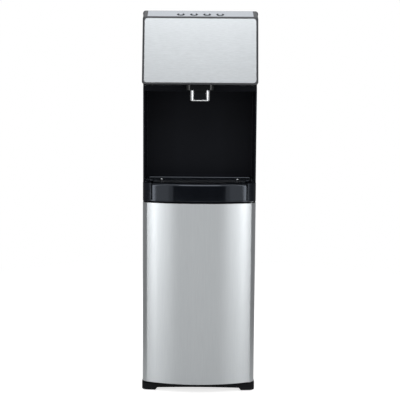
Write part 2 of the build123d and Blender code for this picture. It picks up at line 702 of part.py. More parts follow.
def drip_tray():
    """Pull-out tray with a bowed, rounded front and a ledge for the grille."""
    block = raised(tray_outline(0, 0, 0), TRAY_FLOOR, DECK)
    top = block.edges().group_by(Axis.Z)[-1]
    nose = [e for e in top if e.center().Y < FRONT + TRAY_FRONT]
    block = fillet(nose, TRAY_NOSE)
    seat = DECK - GRILLE_DROP - GRILLE
    inner = LEDGE + TRAY_WALL
    well = raised(
        tray_outline(inner, TRAY_FRONT + LEDGE, inner), TRAY_FLOOR + TRAY_WALL, DECK + OVER
    )
    step = raised(tray_outline(TRAY_WALL, TRAY_FRONT, TRAY_WALL), seat, DECK + OVER)
    return block - well - step


def drip_grille():
    """Slotted plate lying on the tray's ledge."""
    top = DECK - GRILLE_DROP
    plate = raised(
        tray_outline(TRAY_WALL + FIT, TRAY_FRONT + FIT, TRAY_WALL + FIT), top - GRILLE, top
    )
    step = SLOT_LENGTH + SLOT_ROW_GAP
    rows = int((TRAY_DEPTH - TRAY_FRONT - 4 * LEDGE) // step)
    rear = TRAY_REAR - 3 * LEDGE - TRAY_WALL
    slots = Sketch()
    for row in range(rows):
        y = rear - SLOT_LENGTH / 2 - row * step
        reach = TRAY_HALF - 4 * LEDGE
        if row == rows - 1:
            drop = y - SLOT_LENGTH - FRONT - BOW_RADIUS
            reach = min(reach, sqrt(BOW_RADIUS**2 - drop**2) - LEDGE)
        count = int(2 * reach // SLOT_PITCH)
        for place in GridLocations(SLOT_PITCH, 1, count, 1):
            slots += Pos(0, y) * place * Rectangle(SLOT_WIDTH, SLOT_LENGTH)
    return plate - raised(slots, top - GRILLE - OVER, top + OVER)


def rounded_block(width, depth, height, radius, bottom):
    return Pos(0, NOZZLE_Y, bottom) * extrude(RectangleRounded(width, depth, radius), height)


def nozzle_collar():
    """Black housing under the head that carries the nozzle."""
    collar = rounded_block(COLLAR_WIDTH, COLLAR_DEPTH, COLLAR_HEIGHT, COLLAR_RADIUS, COLLAR_BOTTOM)
    return collar - post(0, NOZZLE_Y, COLLAR_BOTTOM - OVER, HEAD_BOTTOM + OVER, OUTLET_RADIUS)


def nozzle_bezel():
    """Bright U round the nozzle: two arms and a floor with the outlet opening."""
    block = rounded_block(BEZEL_WIDTH, BEZEL_DEPTH, BEZEL_HEIGHT, BEZEL_RADIUS, BEZEL_BOTTOM)
    block = fillet(block.edges().group_by(Axis.Z)[0], BEZEL_FLOOR)
    arm = BEZEL_WIDTH / 2 - BEZEL_ARM
    floor = BEZEL_BOTTOM + BEZEL_FLOOR
    block -= slab(-arm, arm, NOZZLE_Y - BEZEL_DEPTH, NOZZLE_Y + BEZEL_DEPTH, floor, HEAD_BOTTOM)
    return block - post(0, NOZZLE_Y, BEZEL_BOTTOM - OVER, floor + OVER, OUTLET_RADIUS + FIT)


def nozzle_insert():
    """Black core between the arms with the outlet tube through the bezel's floor."""
    arm = BEZEL_WIDTH / 2 - BEZEL_ARM - FIT
    deep = BEZEL_DEPTH / 2 - INSERT_SETBACK
    low = BEZEL_BOTTOM + BEZEL_FLOOR + FIT
    core = slab(-arm, arm, NOZZLE_Y - deep, NOZZLE_Y + deep, low, COLLAR_BOTTOM)
    core += post(0, NOZZLE_Y, BEZEL_BOTTOM + FIT, low + OVER, OUTLET_RADIUS)
    bore = OUTLET_RADIUS - OUTLET_WALL
    return core - post(0, NOZZLE_Y, BEZEL_BOTTOM - OVER, COLLAR_BOTTOM + OVER, bore)


def door_outline():
    return bow_outline(BODY, FRONT, DOOR_REAR, BOW_RADIUS, CORNER_RADIUS, DOOR_REAR_RADIUS)


def door_skin():
    """Bowed sheet wrapped round both edges, with folded returns at the rear."""
    plan = door_outline()
    skin = raised(plan - offset(plan, -SKIN), DOOR_BOTTOM, DOOR_TOP)
    reach = BODY - DOOR_RETURN
    return skin - slab(
        -reach, reach, DOOR_REAR - 2 * SKIN, DOOR_REAR + OVER, DOOR_BOTTOM - OVER, DOOR_TOP + OVER
    )


def door_cap(low, high, plate_low):
    """End cap inside the skin: plate, skirt, cross ribs and a boss for the hinge bush."""
    plan = offset(door_outline(), -SKIN - FIT / 2)
    cap = raised(plan, low, high)
    cap -= raised(offset(plan, -WALL), low, high) - slab(
        -HALF, HALF, FRONT, REAR, plate_low, plate_low + CAP_PLATE
    )
    boss = BUSH_RADIUS + WALL
    ribs = post(HINGE_X, HINGE_Y, low, high, boss)
    for i in range(-2, 3):
        x = i * BODY / 3.5
        ribs += slab(x, x + WALL, FRONT, DOOR_REAR, low, high)
    cap += ribs & raised(plan, low, high)
    return cap - post(HINGE_X, HINGE_Y, low - OVER, high + OVER, BUSH_RADIUS + RUN)


def door_top_cap():
    return door_cap(DOOR_TOP - CAP_HEIGHT, DOOR_TOP, DOOR_TOP - CAP_PLATE)


def door_bottom_cap():
    return door_cap(DOOR_BOTTOM, DOOR_BOTTOM + CAP_HEIGHT, DOOR_BOTTOM)


def hinge_bushes():
    bushes = Part()
    for low in (DOOR_BOTTOM, DOOR_TOP - BUSH_HEIGHT):
        bushes += post(HINGE_X, HINGE_Y, low, low + BUSH_HEIGHT, BUSH_RADIUS) - post(
            HINGE_X, HINGE_Y, low - OVER, low + BUSH_HEIGHT + OVER, PIN_RADIUS + RUN
        )
    return bushes


def hinge_pins():
    low = PLINTH_TOP + BRACKET
    high = APRON_BOTTOM - BRACKET
    lower = post(HINGE_X, HINGE_Y, low, DOOR_BOTTOM + PIN_DEPTH, PIN_RADIUS)
    return lower + post(HINGE_X, HINGE_Y, DOOR_TOP - PIN_DEPTH, high, PIN_RADIUS)


def hinge_bracket(low):
    """Steel hinge plate with a rounded nose under the pin."""
    plate = slab(
        HINGE_X - BRACKET_REACH, HINGE_X + HINGE_INSET_X - RIM_WIDTH, HINGE_Y - BUSH_RADIUS,
        CAB_FRONT - FIT, low, low + BRACKET,
    )
    return fillet(vertical_edges(plate).group_by(Axis.Y)[0], BUSH_WALL * 2)


def hinge_brackets():
    return hinge_bracket(PLINTH_TOP) + hinge_bracket(APRON_BOTTOM - BRACKET)


def door_liner():
    """Moulded rear of the door, captured behind the skin's returns, with a raised panel."""
    low = DOOR_BOTTOM + CAP_HEIGHT + FIT
    high = DOOR_TOP - CAP_HEIGHT - FIT
    face = DOOR_REAR - SKIN - FIT
    reach = BODY - DOOR_REAR_RADIUS - SKIN
    plate = slab(-reach, reach, face - WALL, face, low, high)
    raise_half = BODY - DOOR_RETURN - FIT
    panel = slab(-raise_half, raise_half, face - OVER, DOOR_REAR, low + FIT, high - FIT)
    panel = chamfer(panel.edges().group_by(Axis.Y)[-1], LINER_CHAMFER)
    ribs = Part()
    for i in range(1, 4):
        z = low + i * (high - low) / 4
        ribs += slab(-raise_half, raise_half, face - 3 * WALL, face - WALL / 2, z, z + WALL)
    return plate + panel + ribs


def magnet_span():
    """Width of the magnet and its catch on the free side."""
    right = -BODY + DOOR_REAR_RADIUS + SKIN + MAGNET_WIDTH
    return right - MAGNET_WIDTH, right


def door_magnet():
    x0, x1 = magnet_span()
    z = DOOR_BOTTOM + MAGNET_LEVEL
    return slab(x0, x1, DOOR_REAR, DOOR_REAR + MAGNET_DEPTH, z, z + MAGNET_HEIGHT)


def catch_plate():
    x0, x1 = magnet_span()
    z = DOOR_BOTTOM + MAGNET_LEVEL
    front = DOOR_REAR + MAGNET_DEPTH + FIT
    return slab(x0, x1, front, CAB_FRONT, z, z + MAGNET_HEIGHT)


def bottle_mat():
    """Mat with a round seat that centres the bottle."""
    low = PLINTH_TOP + SHEET
    front = CAB_FRONT + SHEET + 2 * FIT
    rear = CAB_REAR - 2 * SHEET - 2 * FIT
    half = INSIDE - SHEET - FIT
    mat = slab(-half, half, front, rear, low, low + MAT_HEIGHT)
    mat = fillet(vertical_edges(mat), MAT_MARGIN)
    seat = min(BOTTLE_RADIUS, half - MAT_MARGIN, (rear - front) / 2 - MAT_MARGIN / 2)
    mat -= post(0, (front + rear) / 2, low + MAT_HEIGHT - MAT_RECESS, low + MAT_HEIGHT + OVER, seat)
    return mat


def probe_cap():
    """Cap that closes the bottle's neck, with a finger rim."""
    top = SHELF - SHEET - HOSE_SHOWN
    cap = post(PROBE_X, PROBE_Y, top - PROBE_CAP_HEIGHT, top, PROBE_CAP_RADIUS - PROBE_GRIP)
    rim_top = top - PROBE_CAP_HEIGHT + PROBE_RIM_HEIGHT
    cap += post(PROBE_X, PROBE_Y, top - PROBE_CAP_HEIGHT, rim_top, PROBE_CAP_RADIUS)
    return fillet(cap.edges().group_by(Axis.Z)[-1], PROBE_CAP_ROUND)


def probe_wand():
    """Suction tube with a slotted foot."""
    top = SHELF - SHEET - HOSE_SHOWN - PROBE_CAP_HEIGHT
    low = top - PROBE_LENGTH
    wand = post(PROBE_X, PROBE_Y, low, top, PROBE_RADIUS)
    wand -= post(PROBE_X, PROBE_Y, low - OVER, low + 3 * PROBE_RADIUS, PROBE_RADIUS - PROBE_WALL)
    slot = slab(
        PROBE_X - 2 * PROBE_RADIUS, PROBE_X + 2 * PROBE_RADIUS,
        PROBE_Y - PROBE_RADIUS / 4, PROBE_Y + PROBE_RADIUS / 4,
        low - OVER, low + 2 * PROBE_RADIUS,
    )
    return wand - slot


def probe_hose():
    top = SHELF - SHEET - HOSE_SHOWN
    return post(PROBE_X, PROBE_Y, top, SHELF + LIP, HOSE_RADIUS)


def hose_gland():
    """Grommet in the mid shelf round the hose."""
    gland = post(PROBE_X, PROBE_Y, SHELF - SHEET - 2 * FIT, SHELF + 2 * FIT, GLAND_RADIUS - FIT)
    gland += post(PROBE_X, PROBE_Y, SHELF, SHELF + WALL, GLAND_RADIUS + WALL)
    gland += post(PROBE_X, PROBE_Y, SHELF - SHEET - WALL, SHELF - SHEET, GLAND_RADIUS + WALL)
    return gland - post(PROBE_X, PROBE_Y, SHELF - LIP, SHELF + LIP, HOSE_RADIUS + FIT / 3)


def probe_clip():
    """Clip on the left side panel that holds the parked wand."""
    z = SHELF - SHEET - HOSE_SHOWN - PROBE_CAP_HEIGHT - PROBE_LENGTH * (1 - CLIP_LEVEL)
    grip = PROBE_RADIUS + FIT
    outer = grip + CLIP_WALL
    arm = slab(-INNER, PROBE_X, PROBE_Y - outer, PROBE_Y + outer, z, z + CLIP_HEIGHT)
    arm += post(PROBE_X, PROBE_Y, z, z + CLIP_HEIGHT, outer)
    half = grip * CLIP_MOUTH
    mouth = slab(
        PROBE_X, PROBE_X + 2 * outer, PROBE_Y - half, PROBE_Y + half, z - OVER, z + CLIP_HEIGHT + OVER
    )
    return arm - post(PROBE_X, PROBE_Y, z - OVER, z + CLIP_HEIGHT + OVER, grip) - mouth


def mount_places():
    """Centres of the four rubber mounts."""
    across = (COMPRESSOR_X - MOUNT_SPREAD, COMPRESSOR_X + MOUNT_SPREAD)
    along = (COMPRESSOR_Y - MOUNT_SPREAD, COMPRESSOR_Y + MOUNT_SPREAD)
    return [(x, y) for x in across for y in along]


def domed_can(radius, low, high):
    """Upright can on the compressor's axis with a rounded top."""
    can = post(COMPRESSOR_X, COMPRESSOR_Y, low, high, radius)
    return fillet(can.edges().group_by(Axis.Z)[-1], radius / 2)


def compressor():
    """Welded can with a seam flange, its motor inside, a suction stub and a mounting plate."""
    low = SHELF + MOUNT_HEIGHT
    high = low + COMPRESSOR_HEIGHT
    radius = COMPRESSOR_RADIUS - SEAM_REACH
    seam = (low + high) / 2
    stub_level = seam - COMPRESSOR_HEIGHT / 4
    stub_end = COMPRESSOR_Y - COMPRESSOR_RADIUS - STUB_LENGTH
    plate = slab(
        COMPRESSOR_X - MOUNT_REACH, COMPRESSOR_X + MOUNT_REACH, COMPRESSOR_Y - MOUNT_REACH,
        COMPRESSOR_Y + MOUNT_REACH, low, low + BASE_PLATE,
    )
    can = domed_can(radius, low, high) + fillet(vertical_edges(plate), MOUNT_RADIUS)
    can += post(COMPRESSOR_X, COMPRESSOR_Y, seam, seam + SEAM_HEIGHT, COMPRESSOR_RADIUS)
    can += rod(COMPRESSOR_X, stub_level, stub_end, COMPRESSOR_Y, STUB_RADIUS)
    can -= domed_can(radius - CAN_WALL, low + BASE_PLATE, high - CAN_WALL)
    can -= rod(COMPRESSOR_X, stub_level, stub_end - OVER, COMPRESSOR_Y, STUB_RADIUS - TANK_WALL)
    return can + post(COMPRESSOR_X, COMPRESSOR_Y, low, low + BASE_PLATE + ROTOR_HEIGHT, ROTOR_RADIUS)


def compressor_mounts():
    mounts = Part()
    for x, y in mount_places():
        foot = post(x, y, SHELF, SHELF + MOUNT_HEIGHT, MOUNT_RADIUS)
        waist = post(x, y, SHELF + MOUNT_HEIGHT / 3, SHELF + 2 * MOUNT_HEIGHT / 3, MOUNT_RADIUS + OVER)
        waist -= post(x, y, SHELF, SHELF + MOUNT_HEIGHT, MOUNT_WAIST)
        mounts += foot - waist
    return mounts


def hot_tank():
    """Hollow steel tank with a domed top and an open port."""
    top = SHELF + HOT_HEIGHT
    tank = post(HOT_X, HOT_Y, SHELF, top, HOT_RADIUS)
    tank = fillet(tank.edges().group_by(Axis.Z)[-1], HOT_RADIUS / 3)
    cavity = post(HOT_X, HOT_Y, SHELF + TANK_WALL, top - TANK_WALL, HOT_RADIUS - TANK_WALL)
    cavity = fillet(cavity.edges().group_by(Axis.Z)[-1], HOT_RADIUS / 3 - TANK_WALL)
    tank += post(HOT_X, HOT_Y, top - TANK_WALL, top + LIP, SPIGOT_RADIUS)
    return tank - cavity - post(HOT_X, HOT_Y, top - LIP, top + LIP + OVER, SPIGOT_RADIUS - TANK_WALL)


def hot_tank_sleeve():
    """Insulating sleeve with a notch for the drain spigot."""
    low = SHELF
    high = SHELF + SLEEVE_HEIGHT
    sleeve = post(HOT_X, HOT_Y, low, high, SLEEVE_RADIUS)
    sleeve -= post(HOT_X, HOT_Y, low - OVER, high + OVER, HOT_RADIUS + FIT)
    return sleeve - rod(HOT_X, DRAIN_Z, HOT_Y, CAB_REAR, SPIGOT_RADIUS + FIT)


def drain_spigot():
    """Drain pipe from the hot tank through the back panel."""
    start = HOT_Y + sqrt(HOT_RADIUS**2 - SPIGOT_RADIUS**2)
    pipe = rod(HOT_X, DRAIN_Z, HOT_Y, BACK_FACE + SPIGOT_OUT, SPIGOT_RADIUS)
    pipe -= post(HOT_X, HOT_Y, SHELF - OVER, SHELF + HOT_HEIGHT, HOT_RADIUS + FIT / 3)
    return pipe - rod(HOT_X, DRAIN_Z, start + WALL, REAR, SPIGOT_RADIUS - TANK_WALL)


def drain_cap():
    """Cap over the end of the drain pipe with a ribbed grip."""
    inner = SPIGOT_RADIUS + FIT
    outer = inner + CAP_WALL
    start = BACK_FACE + SPIGOT_OUT / 3
    end = BACK_FACE + SPIGOT_OUT + FIT + CAP_WALL
    cap = rod(HOT_X, DRAIN_Z, start, end, outer)
    tip = outer + CAP_RIB
    grip = slab(HOT_X - CAP_RIB, HOT_X + CAP_RIB, start + CAP_WALL, end, DRAIN_Z - tip, DRAIN_Z + tip)
    cap += grip
    cap += Pos(HOT_X, 0, DRAIN_Z) * Rot(0, 90, 0) * Pos(-HOT_X, 0, -DRAIN_Z) * grip
    return cap - rod(HOT_X, DRAIN_Z, start - OVER, end - CAP_WALL, inner)


def cold_tank():
    """Open steel tank with a rounded floor."""
    low = FASCIA_TOP + SHEET + JACKET_WALL
    top = low + COLD_HEIGHT
    tank = post(COLD_X, COLD_Y, low, top, COLD_RADIUS)
    tank = fillet(tank.edges().group_by(Axis.Z)[0], COLD_RADIUS / 6)
    cavity = post(COLD_X, COLD_Y, low + TANK_WALL, top + OVER, COLD_RADIUS - TANK_WALL)
    return tank - fillet(cavity.edges().group_by(Axis.Z)[0], COLD_RADIUS / 6 - TANK_WALL)


def cold_tank_lid():
    """Moulded lid with a spigot ring that enters the tank."""
    top = FASCIA_TOP + SHEET + JACKET_WALL + COLD_HEIGHT
    lid = post(COLD_X, COLD_Y, top, top + LID, COLD_RADIUS + JACKET_WALL / 2)
    lid = fillet(lid.edges().group_by(Axis.Z)[-1], LID / 3)
    plug = COLD_RADIUS - TANK_WALL - FIT
    ring = post(COLD_X, COLD_Y, top - LID, top + OVER, plug)
    return lid + ring - post(COLD_X, COLD_Y, top - LID - OVER, top, plug - WALL)


def cold_tank_jacket():
    """Foam jacket round and under the cold tank."""
    low = FASCIA_TOP + SHEET
    high = low + JACKET_WALL + COLD_HEIGHT
    jacket = post(COLD_X, COLD_Y, low, high, COLD_RADIUS + JACKET_WALL)
    jacket = fillet(jacket.edges().group_by(Axis.Z)[-1], JACKET_WALL / 3)
    return jacket - post(COLD_X, COLD_Y, low + JACKET_WALL - FIT, high + OVER, COLD_RADIUS + FIT)


def water_pump():
    """Small pump standing on the mid shelf behind the niche: head block below its motor."""
    half = PUMP_HEAD / 2
    y = NICHE_REAR + 2 * FIT + half
    top = SHELF + PUMP_HEAD
    head = slab(PUMP_X - half, PUMP_X + half, y - half, y + half, SHELF, top)
    head = fillet(vertical_edges(head), PUMP_HEAD / 8)
    return head + post(PUMP_X, y, top - OVER, top + PUMP_LENGTH, PUMP_RADIUS)


def circuit_corners():
    x = CIRCUIT_WIDTH / 2 - STANDOFF_RADIUS - OVER
    y = CIRCUIT_LENGTH / 2 - STANDOFF_RADIUS - OVER
    return [(CIRCUIT_X + sx * x, sy * y) for sx in (-1, 1) for sy in (-1, 1)]


def power_board():
    """Power board with its transformer, relays and terminal row."""
    low = FASCIA_TOP + SHEET + STANDOFF
    top = low + BOARD
    seat = top - BOARD / 2
    x0 = CIRCUIT_X - CIRCUIT_WIDTH / 2
    y0 = -CIRCUIT_LENGTH / 2
    board = slab(x0, x0 + CIRCUIT_WIDTH, y0, -y0, low, top)
    x1 = x0 + BLOCK_MARGIN
    board += slab(x1, x1 + COIL_BLOCK, 0, COIL_BLOCK, seat, top + COIL_BLOCK)
    x2 = x0 + CIRCUIT_WIDTH - BLOCK_MARGIN
    for i in range(RELAY_COUNT):
        y = y0 + 2 * BLOCK_MARGIN + i * RELAY_PITCH
        board += slab(x2 - RELAY, x2, y, y + RELAY_PITCH - STANDOFF_RADIUS, seat, top + RELAY)
    y1 = -y0 - 2 * BLOCK_MARGIN
    return board + slab(x2 - COIL_BLOCK, x2, y1 - LIP, y1, seat, top + LIP)


def condenser_tube():
    """One unbroken serpentine with a return riser and both legs led through the back panel."""
    inside = CAB_REAR - LEG_INSIDE
    points = [(-COIL_HALF, inside, LEG_Z), (-COIL_HALF, TUBE_Y, LEG_Z)]
    for i in range(RUNS):
        z = COIL_HIGH - i * RUN_PITCH
        ends = (-COIL_HALF, COIL_HALF) if i % 2 == 0 else (COIL_HALF, -COIL_HALF)
        points += [(x, TUBE_Y, z) for x in ends]
    riser = -COIL_HALF - RISER
    points[-1] = (riser, TUBE_Y, COIL_LOW)
    points += [(riser, TUBE_Y, LEG_Z), (riser, inside, LEG_Z)]
    path = FilletPolyline(*points, radius=BEND)
    section = Plane(path @ 0, z_dir=path % 0) * Circle(TUBE_RADIUS)
    return sweep(section, path=path)


def condenser_wires():
    """Upright wires on both sides of the serpentine."""
    wires = Part()
    reach = COIL_REACH - WIRE_INSET
    for i in range(WIRE_COUNT):
        x = -reach + i * 2 * reach / (WIRE_COUNT - 1)
        for side in (-1, 1):
            y = TUBE_Y + side * (TUBE_RADIUS + WIRE_RADIUS)
            wires += post(x, y, COIL_LOW - WIRE_OVERHANG, COIL_HIGH + WIRE_OVERHANG, WIRE_RADIUS)
    return wires


def condenser_brackets():
    """Four folded feet that carry the condenser on the back panel."""
    feet = Part()
    x = COIL_REACH
    width = WIRE_INSET - 4 * WIRE_RADIUS
    gap = FIT / 3
    for z in (COIL_LOW + RUN_PITCH, COIL_HIGH - RUN_PITCH):
        bed = z - TUBE_RADIUS - gap
        foot = slab(x - width, x, BACK_FACE, BACK_FACE + SHEET, bed - width, bed)
        foot += slab(x - width, x, BACK_FACE, TUBE_Y + TUBE_RADIUS, bed - SHEET, bed)
        feet += foot
        feet += Pos(width - 2 * x, 0, 0) * foot
    return feet


def switch_centres():
    return [SWITCH_X, SWITCH_X + SWITCH_PITCH]


def switch_hole(x, play, y0, y1):
    """Opening for one rocker, widened by a play."""
    half = ROCKER_HALF + play
    reach = ROCKER_REACH + play
    return slab(x - half, x + half, y0, y1, SWITCH_Z - reach, SWITCH_Z + reach)


def switch_plate():
    """Plate on the back panel with a closed well behind each rocker."""
    middle = sum(switch_centres()) / 2
    half = SWITCH_PITCH / 2 + ROCKER_HALF + SWITCH_BORDER
    reach = ROCKER_REACH + SWITCH_BORDER
    face = BACK_FACE + SWITCH_PLATE
    well = CAB_REAR - SWITCH_WELL
    plate = slab(middle - half, middle + half, BACK_FACE, face, SWITCH_Z - reach, SWITCH_Z + reach)
    plate = fillet(plate.edges().filter_by(Axis.Y), SWITCH_BORDER / 2)
    for x in switch_centres():
        plate += switch_hole(x, SWITCH_PLATE, well, BACK_FACE + OVER)
    for x in switch_centres():
        plate -= switch_hole(x, HOLE_PLAY, well + SWITCH_PLATE, face + OVER)
        plate -= trunnions(x, TRUNNION_RADIUS + RUN, ROCKER_HALF + TRUNNION + FIT)
    return plate


def trunnions(x, radius, reach):
    """Pivot of one rocker, across both its sides."""
    return Pos(x, BACK_FACE, SWITCH_Z) * Rot(0, 90, 0) * Cylinder(radius, 2 * reach)


def rocker(x):
    """Rocker with a shallow V face, resting with its upper half pressed in."""
    pivot = BACK_FACE
    reach = ROCKER_REACH - FIT
    rise = SWITCH_PLATE + ROCKER_PROUD
    notch = reach * sin(ROCKER_TILT * DEGREE)
    outline = [
        (-reach * 0.75, -reach * 0.5),
        (reach * 0.75, -reach * 0.5),
        (reach, 0),
        (reach * 0.98, rise),
        (0, rise - notch),
        (-reach * 0.98, rise),
        (-reach, 0),
    ]
    side = Plane((x - ROCKER_HALF, pivot, SWITCH_Z), x_dir=(0, 0, 1), z_dir=(1, 0, 0))
    points = [(along, -out) for along, out in outline]
    key = extrude(side * make_face(Polyline(*points, close=True)), 2 * ROCKER_HALF)
    key = key.rotate(Axis((x, pivot, SWITCH_Z), (1, 0, 0)), ROCKER_TILT)
    return key + trunnions(x, TRUNNION_RADIUS, ROCKER_HALF + TRUNNION)


def cord_gland():
    """Closed cord entry in the back panel."""
    inside = CAB_REAR - SWITCH_PLATE
    gland = rod(GLAND_X, DRAIN_Z, inside, BACK_FACE + CORD_GLAND_OUT, CORD_GLAND_RADIUS)
    gland = fillet(gland.edges().group_by(Axis.Y)[-1], SWITCH_PLATE)
    return gland + rod(GLAND_X, DRAIN_Z, BACK_FACE, BACK_FACE + SWITCH_PLATE, CORD_GLAND_RADIUS + WALL)


BUTTON_NAMES = ("hot_button", "room_button", "cold_button", "lock_button")

NODES = {
    "base_plinth": base_plinth,
    "foot_pads": foot_pads,
    "base_pan": base_pan,
    "left_side_panel": lambda: side_panel(-1),
    "right_side_panel": lambda: side_panel(1),
    "back_panel": back_panel,
    "back_screws": back_screws,
    "mid_shelf": mid_shelf,
    "tank_shelf": tank_shelf,
    "top_cover": top_cover,
    "head_shell": head_shell,
    "head_front_panel": head_front_panel,
    "control_strip": control_strip,
    "button_rings": button_rings,
    "button_board": button_board,
    "niche_shell": niche_shell,
    "apron": apron,
    "deck_screws": deck_screws,
    "drip_tray": drip_tray,
    "drip_grille": drip_grille,
    "nozzle_collar": nozzle_collar,
    "nozzle_bezel": nozzle_bezel,
    "nozzle_insert": nozzle_insert,
    "door_skin": door_skin,
    "door_top_cap": door_top_cap,
    "door_bottom_cap": door_bottom_cap,
    "door_liner": door_liner,
    "hinge_bushes": hinge_bushes,
    "hinge_pins": hinge_pins,
    "hinge_brackets": hinge_brackets,
    "door_magnet": door_magnet,
    "catch_plate": catch_plate,
    "bottle_mat": bottle_mat,
    "probe_cap": probe_cap,
    "probe_wand": probe_wand,
    "probe_hose": probe_hose,
    "hose_gland": hose_gland,
    "probe_clip": probe_clip,
    "compressor": compressor,
    "compressor_mounts": compressor_mounts,
    "hot_tank": hot_tank,
    "hot_tank_sleeve": hot_tank_sleeve,
    "drain_spigot": drain_spigot,
    "drain_cap": drain_cap,
    "cold_tank": cold_tank,
    "cold_tank_lid": cold_tank_lid,
    "cold_tank_jacket": cold_tank_jacket,
    "water_pump": water_pump,
    "power_board": power_board,
    "condenser_tube": condenser_tube,
    "condenser_wires": condenser_wires,
    "condenser_brackets": condenser_brackets,
    "switch_plate": switch_plate,
    "hot_switch": lambda: rocker(switch_centres()[0]),
    "cold_switch": lambda: rocker(switch_centres()[1]),
    "cord_gland": cord_gland,
}
for number, label in enumerate(BUTTON_NAMES):
    NODES[label] = lambda number=number: button(number)


def main():
    os.makedirs("parts", exist_ok=True)
    for name, make in NODES.items():
        export_step(make(), f"parts/{name}.step")


main()
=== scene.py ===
"""Looks of a bottom-loading water cooler: finishes for its nodes, its screws, the studio and the camera."""
import logging
import math
from dataclasses import dataclass
from enum import Enum

import bmesh
import bpy
import numpy as np
from mathutils import Matrix, Vector


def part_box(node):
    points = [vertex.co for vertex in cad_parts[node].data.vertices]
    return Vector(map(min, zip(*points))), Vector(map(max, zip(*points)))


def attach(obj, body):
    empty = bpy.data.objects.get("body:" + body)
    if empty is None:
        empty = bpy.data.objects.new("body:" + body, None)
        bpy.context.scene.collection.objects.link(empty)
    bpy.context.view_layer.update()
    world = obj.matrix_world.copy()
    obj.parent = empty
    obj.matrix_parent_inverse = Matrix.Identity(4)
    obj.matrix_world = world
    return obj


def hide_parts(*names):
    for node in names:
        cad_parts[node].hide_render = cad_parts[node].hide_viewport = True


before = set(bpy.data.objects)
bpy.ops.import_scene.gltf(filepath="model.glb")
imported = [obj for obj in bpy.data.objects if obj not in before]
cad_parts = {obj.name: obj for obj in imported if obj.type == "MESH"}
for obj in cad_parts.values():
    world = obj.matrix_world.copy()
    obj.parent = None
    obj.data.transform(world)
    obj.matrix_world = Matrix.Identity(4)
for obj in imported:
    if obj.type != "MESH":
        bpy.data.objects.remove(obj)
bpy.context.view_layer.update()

MM = 0.001
PHOTO_PIXELS = 400
SIDES = ((-1, "left"), (1, "right"))
WHITE = "#FFFFFF"
NEARLY_UP = (0.01, 0.02, 1.0)    # off the axis, so that level faces keep a grain direction
QUARTER_TURN = 0.25              # of a whole turn, as the shader counts it
TONE_STOPS = (0.3, 0.7)          # grain values at which the dark tone ends and the light one begins
NOISE_DETAIL = 3.0
NOISE_ROUGHNESS = 0.6
EDGE_SAMPLES = 4
MERGE_DISTANCE = 1e-7            # metres, within which two points of a grid are one

SocketKey = str | int            # an input socket's name or its number

log = logging.getLogger("water_cooler")


class Pattern(Enum):
    """How a surface was made, which sets the shape of its grain."""

    HAIRLINE = "streaks left by a brushing belt, long one way and fine across"
    MOULDED = "even fine texture of a spark-eroded mould"
    SPANGLE = "flat crystals of a hot-dipped zinc coat"
    CELLS = "beads of an expanded foam"


def linear(hex_colour: str) -> tuple[float, float, float, float]:
    """Turns an sRGB hex colour into linear RGBA.

    Up to 0.04045 a channel c becomes c / 12.92, and above that ((c + 0.055) / 1.055)^2.4.

    Args:
        hex_colour: colour as #RRGGBB.

    Returns:
        Linear red, green and blue with an alpha of 1.
    """
    srgb = np.array([int(hex_colour[i:i + 2], 16) for i in (1, 3, 5)]) / 255
    flat = np.where(srgb <= 0.04045, srgb / 12.92, ((srgb + 0.055) / 1.055) ** 2.4)
    return (*(float(channel) for channel in flat), 1.0)


def blank_tree(owner: bpy.types.Material | bpy.types.World) -> bpy.types.NodeTree:
    """Switches a new material or world to nodes and empties its tree.

    Args:
        owner: the material or world.

    Returns:
        Its empty node tree.
    """
    owner.use_nodes = True
    owner.node_tree.nodes.clear()
    return owner.node_tree


def add_node(
    tree: bpy.types.NodeTree,
    kind: str,
    inputs: dict[SocketKey, object] | None = None,
    links: dict[SocketKey, bpy.types.NodeSocket] | None = None,
    **settings: object,
) -> bpy.types.Node:
    """Adds one node with its settings, socket values and links.

    Args:
        tree: node tree to add to.
        kind: node type, such as ShaderNodeTexNoise.
        inputs: values for input sockets.
        links: output sockets to join to input sockets.
        **settings: the node's own properties.

    Returns:
        The new node.
    """
    node = tree.nodes.new(kind)
    for name, value in settings.items():
        setattr(node, name, value)
    for key, value in (inputs or {}).items():
        node.inputs[key].default_value = value
    for key, socket in (links or {}).items():
        tree.links.new(socket, node.inputs[key])
    return node


